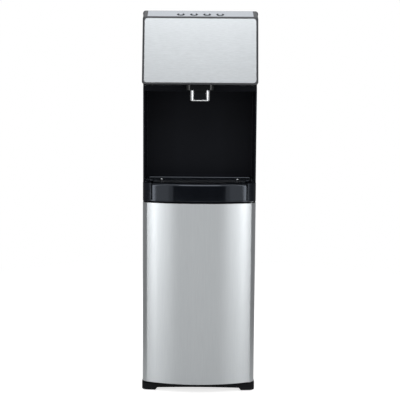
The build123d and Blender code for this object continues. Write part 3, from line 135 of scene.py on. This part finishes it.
@dataclass(frozen=True)
class Finish:
    """A real material: its two tones, its gloss and the grain that its making left."""

    name: str
    dark: str
    light: str
    roughness: tuple[float, float]           # at the dark and the light end of the grain
    grain_mm: tuple[float, float, float]     # size of one streak, grain or cell in X, Y and Z
    pattern: Pattern = Pattern.MOULDED
    depth_mm: float = 0.02                   # height of the grain's relief
    edge_mm: float = 0.4                     # softening of sharp edges
    metallic: float = 0.0
    specular: float = 0.5
    sheen_tint: str = WHITE                  # cast painted into the reflections, in place of the colour of the light
    coat: float = 0.0
    transmission: float = 0.0
    smear: float = 0.0                       # how far brushing draws reflections out

    def texture(self, tree: bpy.types.NodeTree) -> bpy.types.NodeSocket:
        """Adds the grain on Object coordinates, one cell or streak to each grain size.

        Args:
            tree: the material's node tree.

        Returns:
            Socket that runs from 0 to 1 over the grain.
        """
        place = add_node(tree, "ShaderNodeTexCoord")
        scale = tuple(1 / (size * MM) for size in self.grain_mm)
        spread = add_node(tree, "ShaderNodeMapping", {"Scale": scale}, {"Vector": place.outputs["Object"]})
        vector = {"Vector": spread.outputs["Vector"]}
        if self.pattern is Pattern.SPANGLE:
            crystals = add_node(tree, "ShaderNodeTexVoronoi", {"Scale": 1.0}, vector, feature="F1")
            split = add_node(tree, "ShaderNodeSeparateColor", links={"Color": crystals.outputs["Color"]})
            return split.outputs["Red"]
        if self.pattern is Pattern.CELLS:
            beads = add_node(tree, "ShaderNodeTexVoronoi", {"Scale": 1.0}, vector, feature="SMOOTH_F1")
            return beads.outputs["Distance"]
        noise = add_node(
            tree, "ShaderNodeTexNoise",
            {"Scale": 1.0, "Detail": NOISE_DETAIL, "Roughness": NOISE_ROUGHNESS}, vector,
        )
        return noise.outputs["Fac"]

    def material(self) -> bpy.types.Material:
        """Builds the material once and hands out the same one after that.

        Returns:
            The material of this finish.
        """
        made = bpy.data.materials.get(self.name)
        if made:
            return made
        made = bpy.data.materials.new(self.name)
        tree = blank_tree(made)
        grain = self.texture(tree)
        tone = add_node(tree, "ShaderNodeValToRGB", links={"Fac": grain})
        for element, stop, colour in zip(tone.color_ramp.elements, TONE_STOPS, (self.dark, self.light)):
            element.position = stop
            element.color = linear(colour)
        gloss = add_node(
            tree, "ShaderNodeMapRange",
            {"To Min": self.roughness[0], "To Max": self.roughness[1]}, {"Value": grain},
        )
        rounded = add_node(tree, "ShaderNodeBevel", {"Radius": self.edge_mm * MM}, samples=EDGE_SAMPLES)
        relief = add_node(
            tree, "ShaderNodeBump", {"Strength": 1.0, "Distance": self.depth_mm * MM},
            {"Height": grain, "Normal": rounded.outputs["Normal"]},
        )
        shader = add_node(
            tree, "ShaderNodeBsdfPrincipled",
            {
                "Metallic": self.metallic,
                "Specular IOR Level": self.specular,
                "Specular Tint": linear(self.sheen_tint),
                "Coat Weight": self.coat,
                "Coat Roughness": self.roughness[0] / 2,
                "Transmission Weight": self.transmission,
            },
            {
                "Base Color": tone.outputs["Color"],
                "Roughness": gloss.outputs["Result"],
                "Normal": relief.outputs["Normal"],
            },
        )
        if self.smear:
            self.brush(tree, shader)
        add_node(tree, "ShaderNodeOutputMaterial", links={"Surface": shader.outputs["BSDF"]})
        return made

    def brush(self, tree: bpy.types.NodeTree, shader: bpy.types.Node) -> None:
        """Draws reflections out upright, as a level grain round the piece does.

        Args:
            tree: the material's node tree.
            shader: its Principled node.
        """
        face = add_node(tree, "ShaderNodeNewGeometry")
        level = add_node(
            tree, "ShaderNodeVectorMath",
            {1: NEARLY_UP}, {0: face.outputs["Normal"]}, operation="CROSS_PRODUCT",
        )
        tree.links.new(level.outputs["Vector"], shader.inputs["Tangent"])
        shader.inputs["Anisotropic"].default_value = self.smear
        shader.inputs["Anisotropic Rotation"].default_value = QUARTER_TURN

    def dress(self, *nodes: str) -> None:
        """Puts this finish on CAD nodes and reports them.

        Args:
            *nodes: names of the nodes.
        """
        for node in nodes:
            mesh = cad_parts[node].data
            mesh.materials.clear()
            mesh.materials.append(self.material())
        log.info("%s: %s", self.name, ", ".join(nodes))


# Stainless sheet with a horizontal hairline grain: short soft streaks under a broad sheen.
# The real streaks are about 0.1 mm wide, drawn at 1.1 mm so that they show.
BRUSHED_STAINLESS = Finish(
    "brushed_stainless_steel", "#B8BCBF", "#C5C9CC", roughness=(0.36, 0.44), grain_mm=(14.0, 14.0, 1.1),
    pattern=Pattern.HAIRLINE, depth_mm=0.004, edge_mm=0.6, metallic=1.0, smear=0.5,
)
# The same sheet with a satin finish on the door: nearly smooth, with faint upright streaks and bright
# upright bands on the bow.
SATIN_STAINLESS = Finish(
    "satin_stainless_steel", "#C3C7CA", "#CACED0", roughness=(0.32, 0.36), grain_mm=(0.9, 0.9, 60.0),
    pattern=Pattern.HAIRLINE, depth_mm=0.001, edge_mm=0.6, metallic=1.0, smear=0.82,
)
# ABS sprayed silver: an even pale grey with a slight flake.
SILVER_ABS = Finish(
    "silver_sprayed_abs", "#9DA2AA", "#B1B6BD", roughness=(0.32, 0.42), grain_mm=(0.9, 0.9, 0.9),
    depth_mm=0.01, metallic=0.35, coat=0.2,
)
# Graphite ABS from a fine-textured mould: dark grey, soft sheen.
GRAPHITE_ABS = Finish(
    "graphite_moulded_abs", "#38393C", "#424346", roughness=(0.40, 0.50), grain_mm=(1.1, 1.1, 1.1),
    depth_mm=0.015, edge_mm=0.7, specular=0.3,
)
# Black ABS from a polished mould: near-mirror with the slow waves of the flow; the cool cast of its
# reflections is painted light.
PIANO_BLACK = Finish(
    "polished_black_abs", "#05070B", "#090B10", roughness=(0.06, 0.10), grain_mm=(38.0, 38.0, 60.0),
    depth_mm=0.05, edge_mm=0.8, specular=0.38, sheen_tint="#E6F0FF",
)
# Black ABS from a satin mould: deep black that only hints at what stands before it.
SATIN_BLACK = Finish(
    "satin_black_abs", "#111217", "#16181C", roughness=(0.34, 0.42), grain_mm=(1.4, 1.4, 1.4),
    depth_mm=0.012, edge_mm=0.8, specular=0.07,
)
# Black ABS with a half gloss and soft edges: glints along the slots and the collar's edges.
GLOSS_BLACK = Finish(
    "half_gloss_black_abs", "#08090C", "#0D0F12", roughness=(0.10, 0.15), grain_mm=(1.4, 1.4, 1.4),
    depth_mm=0.005, edge_mm=1.0, specular=0.6,
)
# Black ABS from a sparked mould: dull, fine texture.
BLACK_ABS = Finish(
    "textured_black_abs", "#0C0D10", "#131417", roughness=(0.48, 0.62), grain_mm=(1.3, 1.3, 1.3),
    depth_mm=0.03, edge_mm=0.6, specular=0.13,
)
# Die-cast zinc with satin chrome: pale, slightly blurred mirror.
SATIN_CHROME = Finish(
    "satin_chromed_zinc", "#E0E2E5", "#ECEEF0", roughness=(0.22, 0.30), grain_mm=(2.0, 2.0, 2.0),
    depth_mm=0.004, edge_mm=0.8, metallic=1.0,
)
# Steel sheet with a graphite powder coat: orange-peel relief under a low sheen.
POWDER_COAT = Finish(
    "graphite_powder_coat", "#2C2D30", "#36373A", roughness=(0.42, 0.52), grain_mm=(1.6, 1.6, 1.6),
    depth_mm=0.03, edge_mm=0.8,
)
# Hot-dipped galvanised sheet: grey crystals that differ in tone and gloss.
GALVANISED = Finish(
    "galvanised_steel_sheet", "#9DA0A3", "#A9ACAF", roughness=(0.44, 0.52), grain_mm=(5.0, 5.0, 5.0),
    pattern=Pattern.SPANGLE, depth_mm=0.002, metallic=0.85,
)
# Zinc-plated or plain turned steel: bright, faintly streaked.
BRIGHT_STEEL = Finish(
    "zinc_plated_steel", "#C4C7CA", "#D8DADC", roughness=(0.16, 0.26), grain_mm=(1.5, 1.5, 0.6),
    pattern=Pattern.HAIRLINE, depth_mm=0.006, edge_mm=0.3, metallic=1.0,
)
# Passivated zinc on screw heads: pale satin that catches light from all sides.
SATIN_ZINC = Finish(
    "passivated_zinc_plate", "#C8CBCE", "#DCDEE0", roughness=(0.34, 0.44), grain_mm=(0.8, 0.8, 0.8),
    depth_mm=0.004, edge_mm=0.1, metallic=1.0,
)
# Dipped black enamel on wire and tube: glossy with runs.
BLACK_ENAMEL = Finish(
    "black_dipped_enamel", "#0E0E0F", "#17181A", roughness=(0.20, 0.32), grain_mm=(3.0, 3.0, 8.0),
    depth_mm=0.04, edge_mm=0.2,
)
# Off-white polypropylene: waxy, slightly mottled.
PALE_PP = Finish(
    "off_white_polypropylene", "#CFCFCA", "#DCDCD8", roughness=(0.40, 0.50), grain_mm=(2.2, 2.2, 2.2),
    depth_mm=0.02,
)
# Grey polypropylene with a coarse grip texture.
GREY_PP = Finish(
    "grey_grip_polypropylene", "#55585B", "#64676A", roughness=(0.52, 0.64), grain_mm=(2.6, 2.6, 2.6),
    depth_mm=0.10,
)
# Expanded polystyrene: pale beads pressed together.
FOAM = Finish(
    "expanded_polystyrene", "#D2D0C8", "#ECEAE4", roughness=(0.75, 0.90), grain_mm=(4.0, 4.0, 4.0),
    pattern=Pattern.CELLS, depth_mm=0.40,
)
# Glass-fibre board under green solder mask: satin with a faint mottle.
CIRCUIT_BOARD = Finish(
    "green_circuit_board", "#0F3A26", "#1A5236", roughness=(0.30, 0.45), grain_mm=(1.2, 1.2, 1.2),
    depth_mm=0.02,
)
# Bonded ferrite strip: dead black, powdery.
FERRITE = Finish(
    "bonded_ferrite", "#1A1A1B", "#242425", roughness=(0.60, 0.75), grain_mm=(0.8, 0.8, 0.8),
    depth_mm=0.03,
)
# Black rubber: dull, with bloom.
RUBBER = Finish(
    "black_rubber", "#18191A", "#232425", roughness=(0.66, 0.80), grain_mm=(1.8, 1.8, 1.8),
    depth_mm=0.05,
)
# Silicone hose: milky and half clear.
SILICONE = Finish(
    "milky_silicone_hose", "#C4CACD", "#D6DADC", roughness=(0.26, 0.36), grain_mm=(4.0, 4.0, 9.0),
    depth_mm=0.02, transmission=0.35,
)


def surface(name: str, points: np.ndarray, rings: bool = True) -> bpy.types.Object:
    """Makes a smooth object from a grid of points, with one quad between each four neighbours.

    Args:
        name: object name.
        points: array of rows by columns by 3, in metres.
        rings: True where each row is a closed ring.

    Returns:
        The new object, with its coinciding points merged and its faces outward.
    """
    rows, columns = points.shape[:2]
    index = np.arange(rows * columns).reshape(rows, columns)
    if rings:
        index = np.hstack([index, index[:, :1]])
    corners = [index[:-1, :-1], index[:-1, 1:], index[1:, 1:], index[1:, :-1]]
    quads = np.stack(corners, axis=-1).reshape(-1, 4)
    mesh = bpy.data.meshes.new(name)
    mesh.from_pydata(points.reshape(-1, 3).tolist(), [], quads.tolist())
    grid = bmesh.new()
    grid.from_mesh(mesh)
    bmesh.ops.remove_doubles(grid, verts=grid.verts, dist=MERGE_DISTANCE)
    bmesh.ops.recalc_face_normals(grid, faces=grid.faces)
    grid.to_mesh(mesh)
    grid.free()
    mesh.shade_smooth()
    piece = bpy.data.objects.new(name, mesh)
    bpy.context.scene.collection.objects.link(piece)
    return piece


@dataclass
class PanScrew:
    """Pan-head screw with a cross recess, standing on a face.

    Radius and height are in metres, and the other sizes are shares of them.
    """

    radius: float
    height: float
    crown: float = 0.9                                  # radius of the domed crown
    rim: float = 0.75                                   # height of the crown's edge
    arm_reach: float = 0.62                             # from the middle to the end of an arm of the cross
    arm_half_width: float = 0.17
    recess_depth: float = 0.6
    end_softness: float = 0.03
    flank_softness: float = 0.02
    wall_rows: tuple[float, ...] = (0.05, 0.95, 1.0)    # down the wall, close to its two edges
    rings: int = 22
    spokes: int = 64

    def arm(self, across: np.ndarray, along: np.ndarray) -> np.ndarray:
        """Works out one arm of the cross, as the product of a smooth step across it and one along it.

        Each step is 1 / (1 + e^((|d| - size) / softness)), with d the distance from the middle.

        Args:
            across: distance from the middle across the arm, as a share of the radius.
            along: distance from the middle along the arm.

        Returns:
            1 inside the arm and 0 outside it, with soft walls.
        """
        flank = 1 / (1 + np.exp((np.abs(across) - self.arm_half_width) / self.flank_softness))
        end = 1 / (1 + np.exp((np.abs(along) - self.arm_reach) / self.end_softness))
        return flank * end

    def head(self) -> np.ndarray:
        """Works out the head on the XY plane.

        With r as a share of the radius and c as the greater of the cross's two arms, the height over the
        crown is height * (rim + (1 - rim) * (1 - (r / crown)^2) - recess_depth * c). Below the crown a
        straight wall leans out to the seat. Rows run from the middle out and down, closer together near
        the crown's edge, and the last row closes the seat.

        Returns:
            Array of rows by spokes by 3, in metres.
        """
        wall = np.array(self.wall_rows)
        top = self.crown * np.sin(np.linspace(0, math.pi / 2, self.rings))
        share = np.concatenate([top, self.crown + (1 - self.crown) * wall, [0.0]])[:, None]
        angle = np.linspace(0, 2 * math.pi, self.spokes, endpoint=False)[None, :]
        x = share * np.cos(angle)
        y = share * np.sin(angle)
        cross = np.maximum(self.arm(x, y), self.arm(y, x))
        dome = self.rim + (1 - self.rim) * (1 - (share / self.crown) ** 2)
        z = self.height * (dome - self.recess_depth * cross)
        z[self.rings:-1] = self.height * self.rim * (1 - wall[:, None])
        z[-1] = 0
        return np.stack([x * self.radius, y * self.radius, z], axis=-1)

    def set_in(self, name: str, seats: list[Vector], axis: Vector, node: str) -> None:
        """Stands one head on each seat, joined as one piece that replaces a node.

        Args:
            name: piece name.
            seats: middle of each head's seat, in metres.
            axis: direction that the heads face.
            node: CAD node that the heads stand for.
        """
        turn = np.array(axis.to_track_quat("Z", "Y").to_matrix())
        head = self.head() @ turn.T
        piece = surface(name, head + np.array(seats[0]))
        whole = bmesh.new()
        whole.from_mesh(piece.data)
        for number, seat in enumerate(seats[1:], start=1):
            other = surface(f"{name}_{number}", head + np.array(seat))
            whole.from_mesh(other.data)
            bpy.data.objects.remove(other)
        whole.to_mesh(piece.data)
        whole.free()
        piece.data.shade_smooth()
        piece.data.materials.append(SATIN_ZINC.material())
        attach(piece, "cabinet")
        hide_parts(node)
        log.info("%s: %d heads", name, len(seats))


@dataclass
class Head:
    """Head moulding with its steel front, sloped strip, buttons and top cover."""

    def dress(self) -> None:
        """Puts the finishes on the head's nodes."""
        GRAPHITE_ABS.dress("head_shell", "top_cover")
        BRUSHED_STAINLESS.dress("head_front_panel")
        SILVER_ABS.dress("control_strip", "hot_button", "room_button", "cold_button", "lock_button")
        BLACK_ABS.dress("button_rings")
        CIRCUIT_BOARD.dress("button_board")


@dataclass
class Niche:
    """Dispensing niche with its nozzle, apron, tray, grille and deck screws."""

    screw_radius: float = 3.6 * MM

    def dress(self) -> None:
        """Puts the finishes on the niche's nodes."""
        SATIN_BLACK.dress("niche_shell")
        PIANO_BLACK.dress("apron", "drip_tray")
        GLOSS_BLACK.dress("drip_grille", "nozzle_collar", "nozzle_insert")
        SATIN_CHROME.dress("nozzle_bezel")

    def build(self) -> None:
        """Stands the two cross-recess screws on the deck, where the plain ones are."""
        low, high = (Vector(corner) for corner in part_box("deck_screws"))
        middle = (low.y + high.y) / 2
        reach = high.x - self.screw_radius
        seats = [Vector((side * reach, middle, low.z)) for side, _ in SIDES]
        PanScrew(self.screw_radius, high.z - low.z).set_in(
            "deck_cross_screws", seats, Vector((0, 0, 1)), "deck_screws"
        )


@dataclass
class Door:
    """Bowed door with its liner, caps, bushes and magnet."""

    def dress(self) -> None:
        """Puts the finishes on the door's nodes."""
        SATIN_STAINLESS.dress("door_skin")
        GRAPHITE_ABS.dress("door_top_cap", "door_bottom_cap")
        PALE_PP.dress("door_liner", "hinge_bushes")
        FERRITE.dress("door_magnet")


@dataclass
class Cabinet:
    """Plinth, panels, shelves, hinge plates and the bottle bay with its probe."""

    def dress(self) -> None:
        """Puts the finishes on the cabinet's nodes."""
        POWDER_COAT.dress("left_side_panel", "right_side_panel")
        GALVANISED.dress("base_pan", "mid_shelf", "tank_shelf", "hinge_brackets", "catch_plate")
        BRIGHT_STEEL.dress("hinge_pins")
        BLACK_ABS.dress("base_plinth", "probe_cap", "probe_clip")
        GREY_PP.dress("bottle_mat")
        PALE_PP.dress("probe_wand")
        SILICONE.dress("probe_hose")
        RUBBER.dress("foot_pads", "hose_gland")


@dataclass
class CoolingSet:
    """Tanks, pump, compressor and power board inside the cabinet."""

    def dress(self) -> None:
        """Puts the finishes on the set's nodes."""
        POWDER_COAT.dress("compressor")
        RUBBER.dress("compressor_mounts")
        BRIGHT_STEEL.dress("hot_tank", "cold_tank")
        FOAM.dress("hot_tank_sleeve", "cold_tank_jacket")
        PALE_PP.dress("cold_tank_lid")
        BLACK_ABS.dress("water_pump")
        CIRCUIT_BOARD.dress("power_board")


@dataclass
class Rear:
    """Back panel with its screws, condenser, switches, drain and cord entry."""

    screw_radius: float = 3.6 * MM

    def dress(self) -> None:
        """Puts the finishes on the rear nodes."""
        GALVANISED.dress("back_panel", "condenser_brackets")
        BLACK_ENAMEL.dress("condenser_tube", "condenser_wires")
        BLACK_ABS.dress("switch_plate", "hot_switch", "cold_switch", "drain_cap")
        BRIGHT_STEEL.dress("drain_spigot")
        RUBBER.dress("cord_gland")

    def build(self) -> None:
        """Stands three cross-recess screws on each rear flange, where the plain ones are."""
        low, high = (Vector(corner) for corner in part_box("back_screws"))
        apron_low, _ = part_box("apron")
        levels = (low.z + self.screw_radius, apron_low[2], high.z - self.screw_radius)
        reach = high.x - self.screw_radius
        seats = [Vector((side * reach, low.y, level)) for level in levels for side, _ in SIDES]
        PanScrew(self.screw_radius, high.y - low.y).set_in(
            "back_cross_screws", seats, Vector((0, 1, 0)), "back_screws"
        )


@dataclass
class Softbox:
    """Rectangular lamp that faces a point, given by the brightness of its face."""

    name: str
    place: tuple[float, float, float]
    target: tuple[float, float, float]
    width: float
    height: float
    radiance: float

    def build(self) -> None:
        """Adds the lamp, whose watts are radiance * area * pi."""
        light = bpy.data.lights.new(self.name, "AREA")
        light.shape = "RECTANGLE"
        light.size = self.width
        light.size_y = self.height
        light.energy = self.radiance * self.width * self.height * math.pi
        lamp = bpy.data.objects.new(self.name, light)
        lamp.location = self.place
        aim = Vector(self.target) - Vector(self.place)
        lamp.rotation_euler = aim.to_track_quat("-Z", "Y").to_euler()
        lamp.visible_camera = False
        bpy.context.scene.collection.objects.link(lamp)


@dataclass
class Card:
    """Upright board that glows evenly and only shows in reflections: painted light in place of a lit grey
    or black flag of the studio.
    """

    name: str
    start: tuple[float, float]
    end: tuple[float, float]
    low: float
    high: float
    glow: float

    def build(self) -> None:
        """Adds the board.

        Points are start + u * (end - start) in plan and low + v * (high - low) in height.
        """
        share = np.array([0.0, 1.0])
        plan = np.array(self.start) + share[:, None] * (np.array(self.end) - np.array(self.start))
        level = self.low + share * (self.high - self.low)
        x, z = np.meshgrid(plan[:, 0], level, indexing="ij")
        y, _ = np.meshgrid(plan[:, 1], level, indexing="ij")
        board = surface(self.name, np.stack([x, y, z], axis=-1), rings=False)
        glowing_face = bpy.data.materials.new(self.name)
        tree = blank_tree(glowing_face)
        # The face glows at a fixed strength: painted light, not lamplight falling on it.
        glow = add_node(tree, "ShaderNodeEmission", {"Strength": self.glow})
        add_node(tree, "ShaderNodeOutputMaterial", links={"Surface": glow.outputs["Emission"]})
        board.data.materials.append(glowing_face)
        board.visible_camera = False
        board.visible_diffuse = False
        board.visible_transmission = False
        board.visible_shadow = False


@dataclass
class Studio:
    """White room: floor, soft lamps, cards, world and the photograph's camera, in metres."""

    floor_radius: float = 4.0
    floor_near: float = 0.9                  # shadows are whole up to here and gone at twice this
    floor_rings: int = 40
    floor_spokes: int = 96
    floor_paint: str = "#D4D4D4"
    floor_lift: float = 0.73                 # brightness that the camera sees on top of the lit paint
    fill: float = 0.55                       # the room's even light
    backdrop: float = 1.0                    # the room as the camera, metal and glass see it
    distance: float = 2.6
    height: float = 0.825
    pitch: float = math.radians(6.05)
    roll: float = math.radians(0.39)
    focal_pixels: float = 910.5
    shift_pixels: tuple[float, float] = (0.6, -12.0)
    sensor_mm: float = 36.0

    def lamps(self) -> None:
        """Adds an upright softbox and a brighter strip on each side, one lamp in front and one overhead."""
        for side, name in SIDES:
            Softbox(
                f"{name}_softbox", place=(side * 1.32, -2.00, 1.33), target=(0.0, -0.1, 0.55),
                width=0.66, height=2.7, radiance=0.5,
            ).build()
            Softbox(
                f"{name}_strip", place=(side * 1.486, -1.713, 1.95), target=(0.0, -0.1, 1.95),
                width=0.15, height=3.8, radiance=4.6,
            ).build()
        Softbox(
            "front_softbox", place=(0.0, -1.5, 2.1), target=(0.0, -0.15, 0.93),
            width=1.2, height=0.9, radiance=4.15,
        ).build()
        Softbox(
            "top_softbox", place=(0.0, -0.5, 2.4), target=(0.0, -0.1, 0.6),
            width=1.4, height=1.2, radiance=1.6,
        ).build()

    def cards(self) -> None:
        """Stands a board glowing near-black behind the camera and one glowing dark grey along each side:
        painted reflections of a dark room and grey flags.
        """
        Card("front_card", start=(-1.36, -3.2), end=(1.36, -3.2), low=0.10, high=1.5, glow=0.09).build()
        for side, name in SIDES:
            Card(
                f"{name}_card", start=(side * 0.44, -0.465), end=(side * 0.62, 1.2),
                low=0.0, high=1.6, glow=0.28,
            ).build()

    def world(self) -> None:
        """Fills the room with even light, and shows white to the camera, metal and glass."""
        world = bpy.data.worlds.new("white_room")
        bpy.context.scene.world = world
        tree = blank_tree(world)
        path = add_node(tree, "ShaderNodeLightPath")
        seen = add_node(
            tree, "ShaderNodeMath",
            links={0: path.outputs["Is Camera Ray"], 1: path.outputs["Is Glossy Ray"]}, operation="MAXIMUM",
        )
        shown = add_node(
            tree, "ShaderNodeMath",
            links={0: seen.outputs["Value"], 1: path.outputs["Is Transmission Ray"]}, operation="MAXIMUM",
        )
        fill = add_node(tree, "ShaderNodeBackground", {"Color": linear(WHITE), "Strength": self.fill})
        white = add_node(tree, "ShaderNodeBackground", {"Color": linear(WHITE), "Strength": self.backdrop})
        both = add_node(
            tree, "ShaderNodeMixShader",
            links={
                "Fac": shown.outputs["Value"],
                1: fill.outputs["Background"],
                2: white.outputs["Background"],
            },
        )
        add_node(tree, "ShaderNodeOutputWorld", links={"Surface": both.outputs["Shader"]})

    def floor(self) -> None:
        """Lays a pale round floor that keeps the shadow near the object and runs out to white.

        Points are r * (cos a, sin a) on a grid of radius and angle.
        """
        ring = np.linspace(0, 1, self.floor_rings)[:, None] * self.floor_radius
        angle = np.linspace(0, 2 * math.pi, self.floor_spokes, endpoint=False)[None, :]
        x = ring * np.cos(angle)
        y = ring * np.sin(angle)
        piece = surface("floor", np.stack([x, y, np.zeros_like(x)], axis=-1))
        made = bpy.data.materials.new("white_floor")
        tree = blank_tree(made)
        place = add_node(tree, "ShaderNodeTexCoord")
        reach = add_node(
            tree, "ShaderNodeVectorMath", links={0: place.outputs["Object"]}, operation="LENGTH"
        )
        far = add_node(
            tree, "ShaderNodeMapRange",
            {"From Min": self.floor_near, "From Max": self.floor_near * 2},
            {"Value": reach.outputs["Value"]}, interpolation_type="SMOOTHSTEP",
        )
        path = add_node(tree, "ShaderNodeLightPath")
        paint = add_node(tree, "ShaderNodeBsdfDiffuse", {"Color": linear(self.floor_paint)})
        lift = add_node(tree, "ShaderNodeEmission", {"Strength": self.floor_lift})
        none = add_node(tree, "ShaderNodeEmission", {"Strength": 0.0})
        lifted = add_node(
            tree, "ShaderNodeMixShader",
            links={
                "Fac": path.outputs["Is Camera Ray"],
                1: none.outputs["Emission"],
                2: lift.outputs["Emission"],
            },
        )
        near = add_node(
            tree, "ShaderNodeAddShader", links={0: paint.outputs["BSDF"], 1: lifted.outputs["Shader"]}
        )
        white = add_node(tree, "ShaderNodeEmission", {"Strength": self.backdrop})
        both = add_node(
            tree, "ShaderNodeMixShader",
            links={"Fac": far.outputs["Result"], 1: near.outputs["Shader"], 2: white.outputs["Emission"]},
        )
        add_node(tree, "ShaderNodeOutputMaterial", links={"Surface": both.outputs["Shader"]})
        piece.data.materials.append(made)

    def camera(self) -> None:
        """Sets the camera at the photograph's place, tilt and roll."""
        lens = bpy.data.cameras.new("photo_camera")
        lens.sensor_width = self.sensor_mm
        lens.lens = self.focal_pixels / PHOTO_PIXELS * self.sensor_mm
        lens.shift_x = self.shift_pixels[0] / PHOTO_PIXELS
        lens.shift_y = self.shift_pixels[1] / PHOTO_PIXELS
        eye = bpy.data.objects.new("photo_camera", lens)
        tilt = Matrix.Rotation(math.pi / 2 - self.pitch, 4, "X") @ Matrix.Rotation(self.roll, 4, "Z")
        eye.matrix_world = Matrix.Translation((0.0, -self.distance, self.height)) @ tilt
        bpy.context.scene.collection.objects.link(eye)
        bpy.context.scene.camera = eye

    def build(self) -> None:
        """Sets up the whole room."""
        bpy.context.scene.view_settings.view_transform = "Standard"
        self.floor()
        self.lamps()
        self.cards()
        self.world()
        self.camera()


def main() -> None:
    """Dresses each sub-assembly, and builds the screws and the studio."""
    logging.basicConfig(level=logging.INFO, format="%(name)s: %(message)s")
    niche = Niche()
    rear = Rear()
    for assembly in (Head(), niche, Door(), Cabinet(), CoolingSet(), rear):
        assembly.dress()
    niche.build()
    rear.build()
    Studio().build()


if __name__ == "__main__":
    main()
